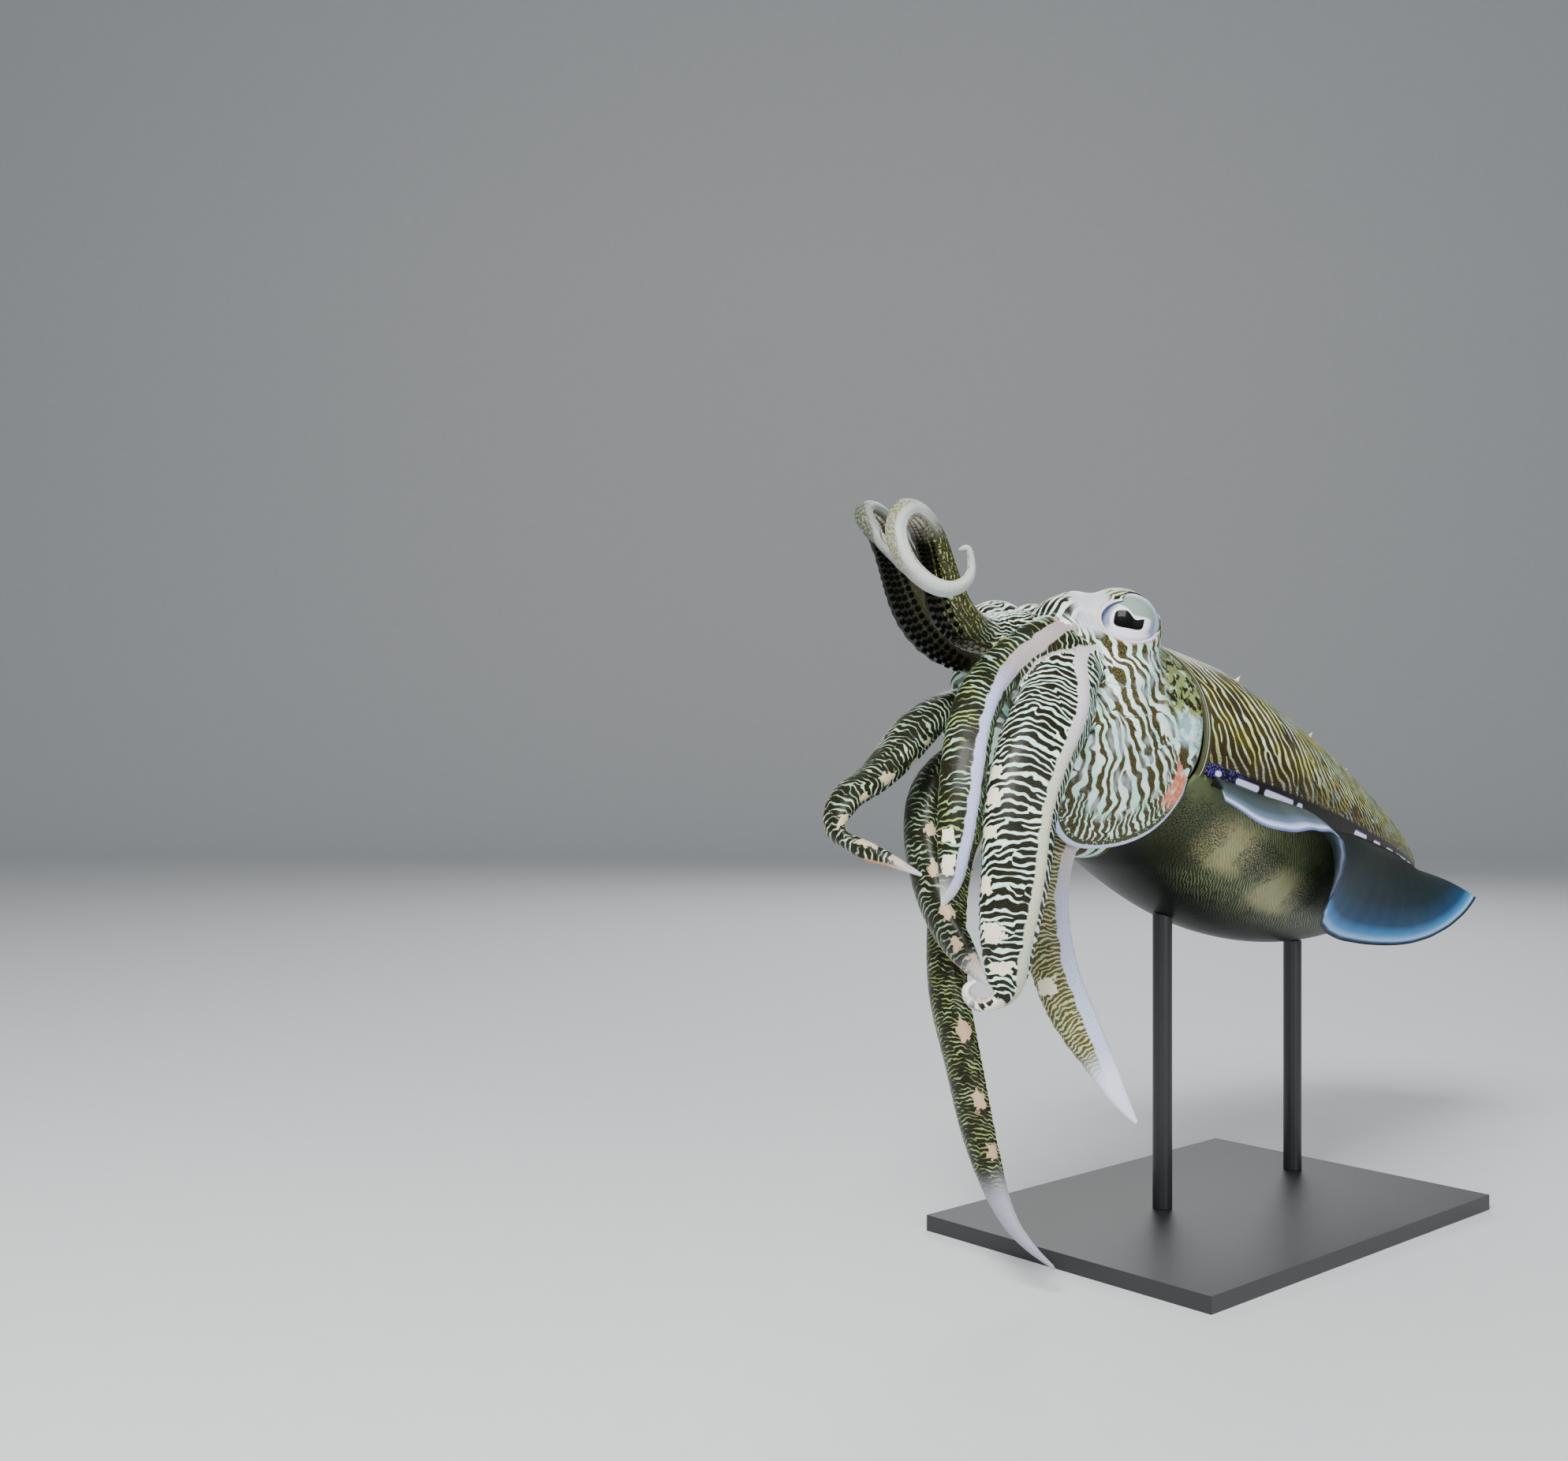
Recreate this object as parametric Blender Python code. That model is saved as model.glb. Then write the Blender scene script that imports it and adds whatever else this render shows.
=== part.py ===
"""Male pharaoh cuttlefish, a still life-size display model held on a plain stand.

The animal faces -Y, its left side is +X and +Z is up. Lengths in the tables are in
millimetres and MM turns them into metres. Three sets of axes are used:
  body axes   x forward, y to the left, z towards the back, from the centre of the mantle's
              front rim, pitched and rolled with the body; the mantle and the fins are in them;
  head axes   the same centre and pitch with the head's own roll; the head, the flaps, the
              eyes, the funnel and the arms' roots are in them;
  level axes  the model's own axes with their origin in the middle of the arm crown; the
              arms hang and rise by these.
The whole model is moved at the end so that the stand rests on Z = 0 under its middle.
"""
import math
import random
from dataclasses import dataclass

import bmesh
import bpy
from mathutils import Matrix, Vector

MM = 0.001
GAP = 0.3

# Driving dimensions of the animal
MANTLE_LENGTH = 310.0
EYE_RADIUS = 14.8

# Pose of the body: nose up, left side a little down
PITCH = math.radians(13.0)
ROLL = math.radians(-9.0)
HEAD_ROLL = math.radians(2.0)
RIM_FROM_CROWN = Vector((-7.0, 37.0, -25.0))

# Mantle loft: size at the rim, greatest size, share of the length where it is, power of its taper
MANTLE_WIDE = (62.0, 66.0, 0.20, 1.5)
MANTLE_BACK = (52.0, 53.0, 0.15, 1.14)
MANTLE_BELLY = (54.0, 78.0, 0.36, 2.0)
TIP_ROUNDING = 0.8
TAIL_DROP = 10.0
MANTLE_SIDES = 28
MANTLE_RINGS = (
    0, 0.015, 0.035, 0.08, 0.15, 0.23, 0.32, 0.42, 0.52, 0.62, 0.71, 0.79, 0.86, 0.92, 0.965, 0.99,
)
RIM_WALL = 3.0
RIM_RECESS = 7.0

# Tuck of the mantle's lower edge against the neck: depth, share of the length, sines of its start and end
TUCK = 6.0
TUCK_LENGTH = 0.06
TUCK_RANGE = (0.05, 0.5)

# Head loft: distance ahead of the mantle rim, centre height, half width, height up, height down.
# The last three rings turn back inward as the lip and hollow of the mouth between the arms.
HEAD_RINGS = (
    (-6.7, 0, 46, 39, 36),
    (1.6, 0, 54.1, 46, 34),
    (12, 1, 57, 50, 40),
    (26, 3, 56, 53, 42),
    (40, 4, 53, 51, 43),
    (49, 3, 45, 43, 38),
    (56, 2, 34, 32, 29),
    (60.5, 1, 24, 22, 20),
    (62, 1, 18, 17, 15.5),
    (60, 1, 13.5, 12.5, 11.5),
    (54, 1, 9, 8.5, 8),
)
HEAD_SQUARENESS = 0.9

# The neck leans to the left in the rim of the rolled mantle: by how much, and where that ends
NECK_LEAN = 2.5
NECK_LEAN_END = 14.0
HEAD_SIDES = 24

# Cheek flap of the fourth arms: polar outline round its middle, and its outward place
FLAP_CENTRE = (38.0, -15.0)
FLAP_BACK = (
    (95, 12), (120, 16), (149, 27), (168, 34.5), (188, 36.6), (213, 36), (243, 38), (271, 43.5), (287, 49.5),
)
FLAP_FRONTS = {
    1: ((303, 57), (318, 59), (332, 54), (347, 43), (365, 33), (392, 25)),
    -1: ((303, 54), (320, 45), (333, 29)),
}
FLAP_OUT = 56.5
FLAP_BOW = (0.006, 0.005, 0.002)
FLAP_EDGE = 2.0
FLAP_ROOT = 15.0
FLAP_STEPS = 26
FLAP_ROWS = 3

# Eyes: centre in head axes for the left side, turn of the gaze ahead and up
EYE_AT = Vector((47.3, 43.8, 41.0))
EYE_AHEAD = math.radians(44.0)
EYE_UP = math.radians(-4.0)
LID_RADIUS = 21.4
LID_FROM_EYE = Vector((-1.0, -6.5, -3.5))
LID_OPENING = (13.7, 9.4)
LID_CUT = (6.0, 26.0)
LID_FLARE = 0.012
SOCKET_CLEAR = 0.7
BALL_RINGS = 8
BALL_SIDES = 16

# Balls that fill the cheeks and brows out: distance ahead, left, height, radius
FILLINGS = (
    (42, 33, 20, 24), (64, 24, 33, 19), (56, 34, -4, 16), (70, 8, 33, 14.5),
    (42, -33, 20, 24), (64, -24, 33, 19), (56, -34, -4, 16),
)

# Funnel under the head: distance ahead, height, half width, half height
FUNNEL_RINGS = (
    (2, -49, 17, 10), (18, -50.5, 17, 11), (34, -54, 14, 9.5), (48, -59, 10.5, 8), (56, -62, 8.5, 7),
)
FUNNEL_BORE = 9.0
FUNNEL_BORE_RISE = 2.0
FUNNEL_BORE_TAPER = 1.0
FUNNEL_WALL = 2.2
FUNNEL_SIDES = 14

# Fins: offsets of the free edge from the root line (share of the root, ahead, out, up)
FIN_SPAN = (0.03, 0.985)
FIN_ANGLE = math.radians(-8.0)
FIN_ROOT = 4.0
FIN_EDGE = 1.0
FIN_OFF_MANTLE = 0.4
FIN_BOW = 4.0
FIN_SPREAD = 0.025
FIN_FULL_BELLY = 30.0
FIN_FOLD = (5.0, 25.0)
FIN_FOLD_LEAN = 8.0
FIN_THIN_BY = 4.0
FIN_SPLIT = 0.5
FIN_SLIT = 0.5
FRONT_CELLS = 9
REAR_CELLS = 12
ACROSS_CELLS = 5
LEFT_EDGE = (
    (0.00, 10, 12, -6), (0.04, 22, 42, -18), (0.11, 24, 47, -10), (0.17, 25, 48, -6), (0.22, 26, 47, -8),
    (0.28, 29, 43, -15), (0.35, 31, 34, -26), (0.43, 32, 20, -37), (0.52, 24, 3, -46), (0.60, 10, -4, -50),
    (0.70, -2, 0, -48), (0.78, -16, 6, -43), (0.86, -31, 9, -34), (0.93, -45, 12, -20), (1.00, -52, 15, -3),
)
RIGHT_EDGE = (
    (0.00, 2, 6, -4), (0.08, 3, 28, -14), (0.20, 2, 46, -14), (0.35, 0, 50, -24), (0.50, -2, 44, -34),
    (0.62, -2, 46, -26), (0.74, -2, 52, -10), (0.84, -6, 52, -6), (0.92, -16, 44, -12), (1.00, -38, 14, -20),
)

# Suckers, in two rows: sizes as shares of the arm's half width, spacing as a share of the radius
SUCKER_RADIUS = 0.23
SUCKER_HEIGHT = 0.20
SUCKER_ROW = 0.36
SUCKER_TILT = 0.30
SUCKER_PITCH = 4.0
SUCKER_SIDES = 6
SUCKER_SINK = 1.0
SUCKER_SET_IN = 0.06
SUCKER_MARGIN = 1.3
SUCKER_FOOT = 0.72
SUCKER_DISH = 0.35
SUCKER_SIZES = (0.9, 1.1)
SUCKER_LEAST = 0.45
SUCKER_CLOSEST = 0.95
SUCKER_SEED = 7

# Papillae on the mantle's back: share of its length, angle up from the left side, height
PAPILLAE = (
    (0.16, 62, 3.0), (0.30, 78, 2.6), (0.42, 64, 3.2), (0.47, 100, 2.6), (0.60, 70, 3.4),
    (0.68, 112, 2.8), (0.80, 74, 3.0), (0.90, 88, 2.6), (0.22, 118, 2.8), (0.36, 132, 2.6),
)
PAPILLA_RADIUS = 1.7
PAPILLA_SHAPE = ((1.3, -2.0), (1.0, 0.0))
PAPILLA_TIP = 0.3
PAPILLA_SIDES = 6

# Stand
PLATE_SIZE = (170.0, 250.0, 8.0)
PLATE_AT_Y = 120.0
ROD_RADIUS = 5.0
ROD_SIDES = 16
ROD_CLEAR = 0.7
BELLY_GRID = (90, 60)
BELLY_SHARES = (0.2, 0.8)
BELLY_ANGLES = (math.radians(216.0), math.radians(324.0))
ROD_AT = ((-14.0, 95.0), (-14.0, 215.0))
FLOOR_BELOW_ARM = 5.0


@dataclass
class Arm:
    """One arm: a smooth curve through a root in head axes and points in level axes.

    root     ahead, left, up and half width, in head axes
    route    left, back, up and half width of each further point, in level axes
    oral     direction of the oral side at the base and from a third of the way on
    curl_from  share of the length from which the oral side faces the inside of the curl
    starts   distance from the root at which the arm leaves the head
    splits   shares of the length at which the arm is divided
    rings    rings in each of its three lengths
    depth    thickness as a share of the width
    """

    name: str
    root: tuple
    route: tuple
    oral: tuple
    curl_from: float
    starts: float
    splits: tuple
    rings: tuple
    depth: float = 0.62


ARMS = (
    Arm("arm_1_left", (50, 12, 36, 12.5),
        ((0.4, -33, 24, 11.9), (-0.6, -61, 22, 11.3), (0, -78, 32, 10.8), (-2, -84, 51, 8.3),
         (-2, -93, 68, 7.2), (0, -105, 74, 5.7), (3, -115, 66, 5.3), (9, -116, 53, 5.0), (17, -112, 43, 4.6),
         (25, -106, 39, 4.0), (30, -100, 43, 3.0), (31, -99, 51, 2.0), (30, -101, 56, 1.3),
         (28, -103, 55, 0.7)),
        ((0, 0.2, -1), (0, -1, -0.2)), 0.50, 42, (0.44, 0.70), (6, 10, 16), 0.85),
    Arm("arm_1_right", (50, -10, 34, 12.5),
        ((-26, -22, 14, 12.2), (-35, -40, 19, 12.6), (-41, -57, 36, 12.2), (-42, -69, 58, 10.2),
         (-40, -83, 74, 7.4), (-34, -96, 78, 5.0), (-28, -104, 74, 4.2), (-19, -104, 64, 3.9),
         (-7, -101, 52, 3.4), (5, -96, 42, 2.4), (13, -91, 36, 0.7)),
        ((0, 0.2, -1), (0.1, -1, -0.2)), 0.52, 42, (0.44, 0.66), (6, 9, 10), 0.85),
    Arm("arm_2_left", (50, 27, 28, 12.0),
        ((22.8, -37.7, 20.4, 10.9), (16.2, -59.2, 9.3, 9.9), (19.6, -84, -11, 10), (27, -99, -35, 10.0),
         (30, -106, -58, 8.8), (30, -109, -76, 6.6), (27, -109, -88, 3.6), (24, -109, -94, 0.8)),
        ((-0.5, 0.4, -0.8), (-0.5, 0.85, 0)), 2.0, 49, (0.55, 0.78), (7, 6, 7)),
    Arm("arm_2_right", (50, -27, 20, 12.5),
        ((-35, -9, 1, 13.2), (-37, -43, -11, 12.9), (-36, -71, -28, 11.4), (-35, -94, -44, 9.4),
         (-35, -111, -54, 7.8), (-32, -117, -64, 6.0), (-19, -115, -72, 4.4), (-7, -109, -77, 3.1),
         (4, -101, -83, 0.7)),
        ((0.5, 0.5, -0.7), (-0.1, 0.95, -0.3)), 0.72, 42, (0.52, 0.76), (8, 9, 8)),
    Arm("arm_3_left", (48, 36, 26, 13.5),
        ((26.8, -22.3, 12.2, 14.2), (37.4, -47.2, -9.8, 14.3), (44.2, -70, -31, 15.0), (46, -84, -55, 15.0),
         (47, -89, -81, 14.2), (45, -91, -104, 12.4), (43, -90, -122, 9.2), (41, -92, -132, 6.6),
         (37, -98, -135, 4.9), (34, -103, -133, 3.9), (34, -105, -128, 2.6), (37, -103, -125, 1.0)),
        ((-0.7, 0.5, -0.6), (-0.72, 0.69, 0)), 0.84, 40, (0.52, 0.78), (8, 7, 18)),
    Arm("arm_3_right", (48, -34, 2, 12.5),
        ((-38, -6, -18, 12.7), (-41, -39, -39, 12.6), (-36, -59, -66, 12.4), (-25, -66, -87, 11.4),
         (-13, -69, -106, 9.5), (-1, -69, -119, 7.6), (7, -69, -127, 4.2), (12, -68, -132, 1.0)),
        ((0.5, 0.6, 0.2), (0.35, 0.94, 0)), 2.0, 52, (0.56, 0.78), (7, 6, 7)),
    Arm("arm_4_left", (44, 30, -12, 15.0),
        ((24, -6, -26, 14.5), (28, -24, -46, 12.0), (28, -39, -70, 9.0), (29, -47, -92, 9.0),
         (31, -49, -112, 10.0), (36, -48, -131, 10.0), (45, -44, -151, 8.8), (52, -39, -166, 6.3),
         (59, -34, -181, 3.7), (64, -30, -190, 0.8)),
        ((-0.6, 0.5, 0.3), (-0.8, 0.6, 0)), 2.0, 48, (0.52, 0.78), (7, 7, 7)),
    Arm("arm_4_right", (40, -24, -22, 14.5),
        ((-36, 0, -48, 14.0), (-42, -24, -79, 13.4), (-38, -40, -112, 12.5), (-29, -48, -143, 12.4),
         (-18, -51, -171, 11.2), (-9, -52, -198, 10.3), (1, -52, -223, 7.8), (10, -49, -242, 4.6),
         (19, -44, -253, 2.5), (26, -39, -260, 0.7)),
        ((0.5, 0.6, 0.4), (0.25, 0.97, 0)), 2.0, 80, (0.54, 0.78), (7, 7, 8)),
)
ARM_LENGTHS = ("base", "middle", "tip")
ARM_SIDES = 10
ARM_SAMPLES = 400
ARM_LEAST_HALF_WIDTH = 0.6
ROOT_RINGS = 4
ORAL_FLATNESS = 0.72
ORAL_TURN_ENDS = 0.35
CURL_BLEND = 0.08
BEND_REACH = 12
ORAL_REACH = 10

# Colours, roughness and metallic value of each material
COLOURS = {
    "mantle": ((0.30, 0.27, 0.14), 0.45, 0.0),
    "head": ((0.42, 0.44, 0.34), 0.45, 0.0),
    "eye": ((0.70, 0.72, 0.74), 0.12, 0.0),
    "fin": ((0.38, 0.48, 0.56), 0.35, 0.0),
    "funnel": ((0.40, 0.42, 0.36), 0.45, 0.0),
    "arm": ((0.40, 0.42, 0.32), 0.45, 0.0),
    "stand": ((0.05, 0.05, 0.055), 0.40, 0.0),
}


def clear_scene():
    for obj in list(bpy.data.objects):
        bpy.data.objects.remove(obj, do_unlink=True)


def tilted_axes(roll):
    """Forward, left and upward directions of a part pitched with the body and rolled."""
    forward = Vector((0, -math.cos(PITCH), math.sin(PITCH)))
    level_left = Vector((1, 0, 0))
    level_up = forward.cross(level_left)
    left = level_left * math.cos(roll) + level_up * math.sin(roll)
    return forward, left, forward.cross(left)


BODY_AXES = tilted_axes(ROLL)
HEAD_AXES = tilted_axes(HEAD_ROLL)


def placed(x, y, z, axes):
    """A point ahead, left and up of the mantle rim's centre, in level axes."""
    forward, left, upward = axes
    return RIM_FROM_CROWN + forward * x + left * y + upward * z


def from_body(x, y, z):
    return placed(x, y, z, BODY_AXES)


def from_head(x, y, z):
    return placed(x, y, z, HEAD_AXES)


def material(kind):
    colour, roughness, metallic = COLOURS[kind]
    mat = bpy.data.materials.get(kind) or bpy.data.materials.new(kind)
    mat.use_nodes = True
    shader = mat.node_tree.nodes["Principled BSDF"]
    shader.inputs["Base Color"].default_value = (*colour, 1)
    shader.inputs["Roughness"].default_value = roughness
    shader.inputs["Metallic"].default_value = metallic
    return mat


def add_object(name, verts, faces, kind):
    """A mesh object from points in millimetres, with its faces pointing out."""
    mesh = bpy.data.meshes.new(name)
    mesh.from_pydata([tuple(Vector(v) * MM) for v in verts], [], faces)
    shell = bmesh.new()
    shell.from_mesh(mesh)
    bmesh.ops.triangulate(shell, faces=shell.faces, quad_method="FIXED")
    bmesh.ops.recalc_face_normals(shell, faces=shell.faces)
    shell.to_mesh(mesh)
    shell.free()
    mesh.materials.append(material(kind))
    obj = bpy.data.objects.new(name, mesh)
    bpy.context.scene.collection.objects.link(obj)
    return obj


def loft(rings):
    """Closed tube through rings of equal count, with a flat cap on each end."""
    count = len(rings[0])
    verts = [p for ring in rings for p in ring]
    faces = []
    for i in range(len(rings) - 1):
        for j in range(count):
            k = (j + 1) % count
            a, b = i * count, (i + 1) * count
            faces.append((a + j, a + k, b + k, b + j))
    faces.append(tuple(reversed(range(count))))
    last = (len(rings) - 1) * count
    faces.append(tuple(last + j for j in range(count)))
    return verts, faces


def largest_shell(obj):
    """Keeps only the closed surface with the largest volume."""
    shell = bmesh.new()
    shell.from_mesh(obj.data)
    bmesh.ops.triangulate(shell, faces=shell.faces)
    left = set(shell.faces)
    groups = []
    while left:
        seed = left.pop()
        group, queue = {seed}, [seed]
        while queue:
            for edge in queue.pop().edges:
                for face in edge.link_faces:
                    if face in left:
                        left.discard(face)
                        group.add(face)
                        queue.append(face)
        groups.append(group)
    if len(groups) > 1:
        def volume(group):
            return abs(sum(f.verts[0].co.dot(f.verts[1].co.cross(f.verts[2].co)) for f in group))
        keep = max(groups, key=volume)
        drop = [f for group in groups if group is not keep for f in group]
        bmesh.ops.delete(shell, geom=drop, context="FACES")
        loose = [v for v in shell.verts if not v.link_faces]
        bmesh.ops.delete(shell, geom=loose, context="VERTS")
    shell.to_mesh(obj.data)
    shell.free()


def boolean(obj, pieces, operation, solver="EXACT"):
    """Joins or cuts obj by all the pieces in one Boolean, and removes them."""
    group = bpy.data.collections.new(obj.name + "_pieces")
    bpy.context.scene.collection.children.link(group)
    for piece in pieces:
        group.objects.link(piece)
    change = obj.modifiers.new("join", "BOOLEAN")
    change.operation = operation
    change.operand_type = "COLLECTION"
    change.collection = group
    change.solver = solver
    with bpy.context.temp_override(object=obj, active_object=obj):
        bpy.ops.object.modifier_apply(modifier=change.name)
    for piece in pieces:
        bpy.data.objects.remove(piece, do_unlink=True)
    bpy.data.collections.remove(group)
    largest_shell(obj)


def ease(value, front, peak, at, end):
    """A section size along the mantle: rises to its peak, then tapers to the tip."""
    if value < at:
        return front + (peak - front) * math.sin(math.pi / 2 * value / at)
    share = (value - at) / (1 - at)
    return peak * max(1 - share ** end, 0) ** TIP_ROUNDING


def mantle_section(share):
    """Half width, back height, belly height and middle height at a share of the mantle."""
    sizes = [ease(share, *size) for size in (MANTLE_WIDE, MANTLE_BACK, MANTLE_BELLY)]
    return (*sizes, -TAIL_DROP * share * share)


def mantle_point(share, angle, inset=0.0):
    """A point of the mantle's surface: share of its length back, angle up from the left."""
    wide, back, belly, middle = mantle_section(share)
    rise = math.sin(angle)
    first, last = TUCK_RANGE
    low = min(max((-rise - first) / (last - first), 0), 1)
    inset += TUCK * low * low * (3 - 2 * low) * max(1 - share / TUCK_LENGTH, 0) ** 2
    height = (back if rise > 0 else belly) - inset
    y = (wide - inset) * math.cos(angle)
    return Vector((-share * MANTLE_LENGTH, y, height * rise + middle))


def ring_angles(sides):
    return [2 * math.pi * j / sides for j in range(sides)]


def mantle_ring(share, inset=0.0):
    return [mantle_point(share, a, inset) for a in ring_angles(MANTLE_SIDES)]


def papilla(share, degrees, height):
    """A small pointed skin tubercle standing on the mantle's back."""
    foot = mantle_point(share, math.radians(degrees))
    ahead = Vector((1, 0, 0))
    middle = Vector((foot.x, 0, mantle_section(share)[3]))
    up = (foot - middle).normalized()
    side = up.cross(ahead).normalized()
    rings = []
    for size, lift in (*PAPILLA_SHAPE, (PAPILLA_TIP, height)):
        radius = PAPILLA_RADIUS * size
        ring = [foot + up * lift + (ahead * math.cos(a) + side * math.sin(a)) * radius
                for a in ring_angles(PAPILLA_SIDES)]
        rings.append([from_body(*p) for p in ring])
    return add_object("papilla", *loft(rings), "mantle")


def build_mantle():
    """The mantle with its recessed front end and the papillae of its back."""
    recess = [Vector((p.x - RIM_RECESS, p.y, p.z)) for p in mantle_ring(0, RIM_WALL + 1)]
    rings = [recess, mantle_ring(0, RIM_WALL)] + [mantle_ring(share) for share in MANTLE_RINGS]
    mantle = add_object("mantle", *loft([[from_body(*p) for p in ring] for ring in rings]), "mantle")
    boolean(mantle, [papilla(*p) for p in PAPILLAE], "UNION")


def squared(value):
    """A sine or cosine pushed a little towards its ends, for a squarer ring."""
    return math.copysign(abs(value) ** HEAD_SQUARENESS, value)


def head_ring(x, centre, wide, up, down):
    """A rounded ring of the head, in level axes."""
    ring = []
    lean = NECK_LEAN * min(1.0, max(0.0, 1 - x / NECK_LEAN_END))
    for angle in ring_angles(HEAD_SIDES):
        height = up if math.sin(angle) > 0 else down
        y, z = wide * squared(math.cos(angle)), height * squared(math.sin(angle)) + centre
        ring.append(from_head(x, y + lean, z))
    return ring


def flap_point(share, angle, side, inner):
    """A point on the outer or inner face of a cheek flap, in level axes."""
    reach = interpolate(FLAP_BACK + FLAP_FRONTS[side], math.degrees(angle))
    x = FLAP_CENTRE[0] + share * reach * math.cos(angle)
    z = FLAP_CENTRE[1] + share * reach * math.sin(angle)
    rise, ahead = z - FLAP_CENTRE[1], x - FLAP_CENTRE[0]
    above, below, along = FLAP_BOW
    out = FLAP_OUT - (above if rise > 0 else below) * rise * rise - along * ahead * ahead
    if inner:
        out -= FLAP_EDGE + (FLAP_ROOT - FLAP_EDGE) * (1 - share ** 2)
    return from_head(x, side * out, z)


def interpolate(table, value):
    """Linear reading of a table of (place, value) pairs."""
    for (a, p), (b, q) in zip(table, table[1:]):
        if value <= b:
            return p + (q - p) * max(value - a, 0) / (b - a)
    return table[-1][1]


def build_flap(side):
    """The broad web of a fourth arm that lies over the cheek, as a thick curved plate."""
    first, last = FLAP_BACK[0][0], FLAP_FRONTS[side][-1][0]
    angles = [math.radians(first + (last - first) * i / FLAP_STEPS) for i in range(FLAP_STEPS + 1)]
    shares = [(r + 1) / FLAP_ROWS for r in range(FLAP_ROWS)]
    verts = [flap_point(share, a, side, inner) for inner in (False, True) for share in shares for a in angles]
    verts += [flap_point(0, angles[0], side, inner) for inner in (False, True)]
    width = FLAP_STEPS + 1
    base, top, bottom = FLAP_ROWS * width, 2 * FLAP_ROWS * width, 2 * FLAP_ROWS * width + 1
    faces = []
    for i in range(FLAP_STEPS):
        faces += [(top, i, i + 1), (bottom, base + i + 1, base + i)]
        for r in range(FLAP_ROWS - 1):
            a, b = r * width + i, (r + 1) * width + i
            faces += [(a, b, b + 1, a + 1), (base + a, base + a + 1, base + b + 1, base + b)]
        rim = (FLAP_ROWS - 1) * width + i
        faces.append((rim, base + rim, base + rim + 1, rim + 1))
    for i, turn in ((0, 1), (FLAP_STEPS, -1)):
        rows = [r * width + i for r in range(FLAP_ROWS)]
        edge = [top, *rows, *[base + a for a in reversed(rows)], bottom]
        faces.append(tuple(edge[::turn]))
    return add_object("flap", verts, faces, "head")


def gaze(side):
    """Outward direction of an eye in level axes."""
    ahead, out = math.sin(EYE_AHEAD), math.cos(EYE_AHEAD)
    forward, left, upward = HEAD_AXES
    return (forward * ahead + left * side * out + upward * math.tan(EYE_UP)).normalized()


def eye_centre(side):
    return from_head(EYE_AT.x, side * EYE_AT.y, EYE_AT.z)


def lid_centre(side):
    """Middle of the bulge that carries an eye's lids."""
    place = EYE_AT + LID_FROM_EYE
    return from_head(place.x, side * place.y, place.z)


def ball(name, centre, radius, kind, axis):
    """A closed ball with its poles along an axis."""
    rings, sides = BALL_RINGS, BALL_SIDES
    turn = Vector((0, 0, 1)).rotation_difference(axis).to_matrix()
    verts = [centre + turn @ Vector((0, 0, -radius))]
    for i in range(1, rings):
        low = math.pi * i / rings
        for j in range(sides):
            a = 2 * math.pi * j / sides
            flat = Vector((math.sin(low) * math.cos(a), math.sin(low) * math.sin(a), -math.cos(low)))
            verts.append(centre + turn @ (flat * radius))
    verts.append(centre + turn @ Vector((0, 0, radius)))
    faces = []
    for j in range(sides):
        k = (j + 1) % sides
        faces.append((0, 1 + k, 1 + j))
        for i in range(rings - 2):
            a, b = 1 + i * sides, 1 + (i + 1) * sides
            faces.append((a + j, a + k, b + k, b + j))
        a = 1 + (rings - 2) * sides
        faces.append((a + j, a + k, len(verts) - 1))
    return add_object(name, verts, faces, kind)


def lid_opening(side):
    """Oval cutter that opens the lids over an eye."""
    axis = gaze(side)
    forward = HEAD_AXES[0]
    long_way = (forward - axis * forward.dot(axis)).normalized()
    short_way = axis.cross(long_way)
    rings = []
    for reach in LID_CUT:
        long_half, short_half = [size * (1 + LID_FLARE * reach) for size in LID_OPENING]
        middle = eye_centre(side) + axis * reach
        rings.append([middle + long_way * long_half * math.cos(a) + short_way * short_half * math.sin(a)
                      for a in ring_angles(BALL_SIDES)])
    return add_object("opening", *loft(rings), "head")


def spline(points, samples):
    """Evenly spaced samples of a smooth curve (natural cubic) through rows of numbers."""
    dim = len(points[0])
    places = [0.0]
    for a, b in zip(points, points[1:]):
        places.append(places[-1] + math.dist(a[:3], b[:3]))
    gaps = [b - a for a, b in zip(places, places[1:])]
    bends = natural_bends(points, gaps, dim)
    rows = []
    for i in range(samples):
        at = places[-1] * i / (samples - 1)
        k = min(sum(1 for p in places[1:-1] if p <= at), len(gaps) - 1)
        a, b = (places[k + 1] - at) / gaps[k], (at - places[k]) / gaps[k]
        rows.append([a * points[k][d] + b * points[k + 1][d]
                     + ((a ** 3 - a) * bends[k][d] + (b ** 3 - b) * bends[k + 1][d]) * gaps[k] ** 2 / 6
                     for d in range(dim)])
    return rows


def natural_bends(points, gaps, dim):
    """Second derivatives of the natural cubic at each point, by elimination."""
    count = len(points)
    upper = [0.0] * count
    right = [[0.0] * dim for _ in range(count)]
    for i in range(1, count - 1):
        h, k = gaps[i - 1], gaps[i]
        pivot = 2 * (h + k) - h * upper[i - 1]
        upper[i] = k / pivot
        for d in range(dim):
            jump = (points[i + 1][d] - points[i][d]) / k - (points[i][d] - points[i - 1][d]) / h
            right[i][d] = (6 * jump - h * right[i - 1][d]) / pivot
    bends = [[0.0] * dim for _ in range(count)]
    for i in range(count - 2, 0, -1):
        for d in range(dim):
            bends[i][d] = right[i][d] - upper[i] * bends[i + 1][d]
    return bends


@dataclass
class Frame:
    """A place along an arm: centre, direction, oral side, across, half width."""

    centre: Vector
    along: Vector
    oral: Vector
    across: Vector
    wide: float


def clamp(value):
    return min(max(value, 0.0), 1.0)


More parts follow.
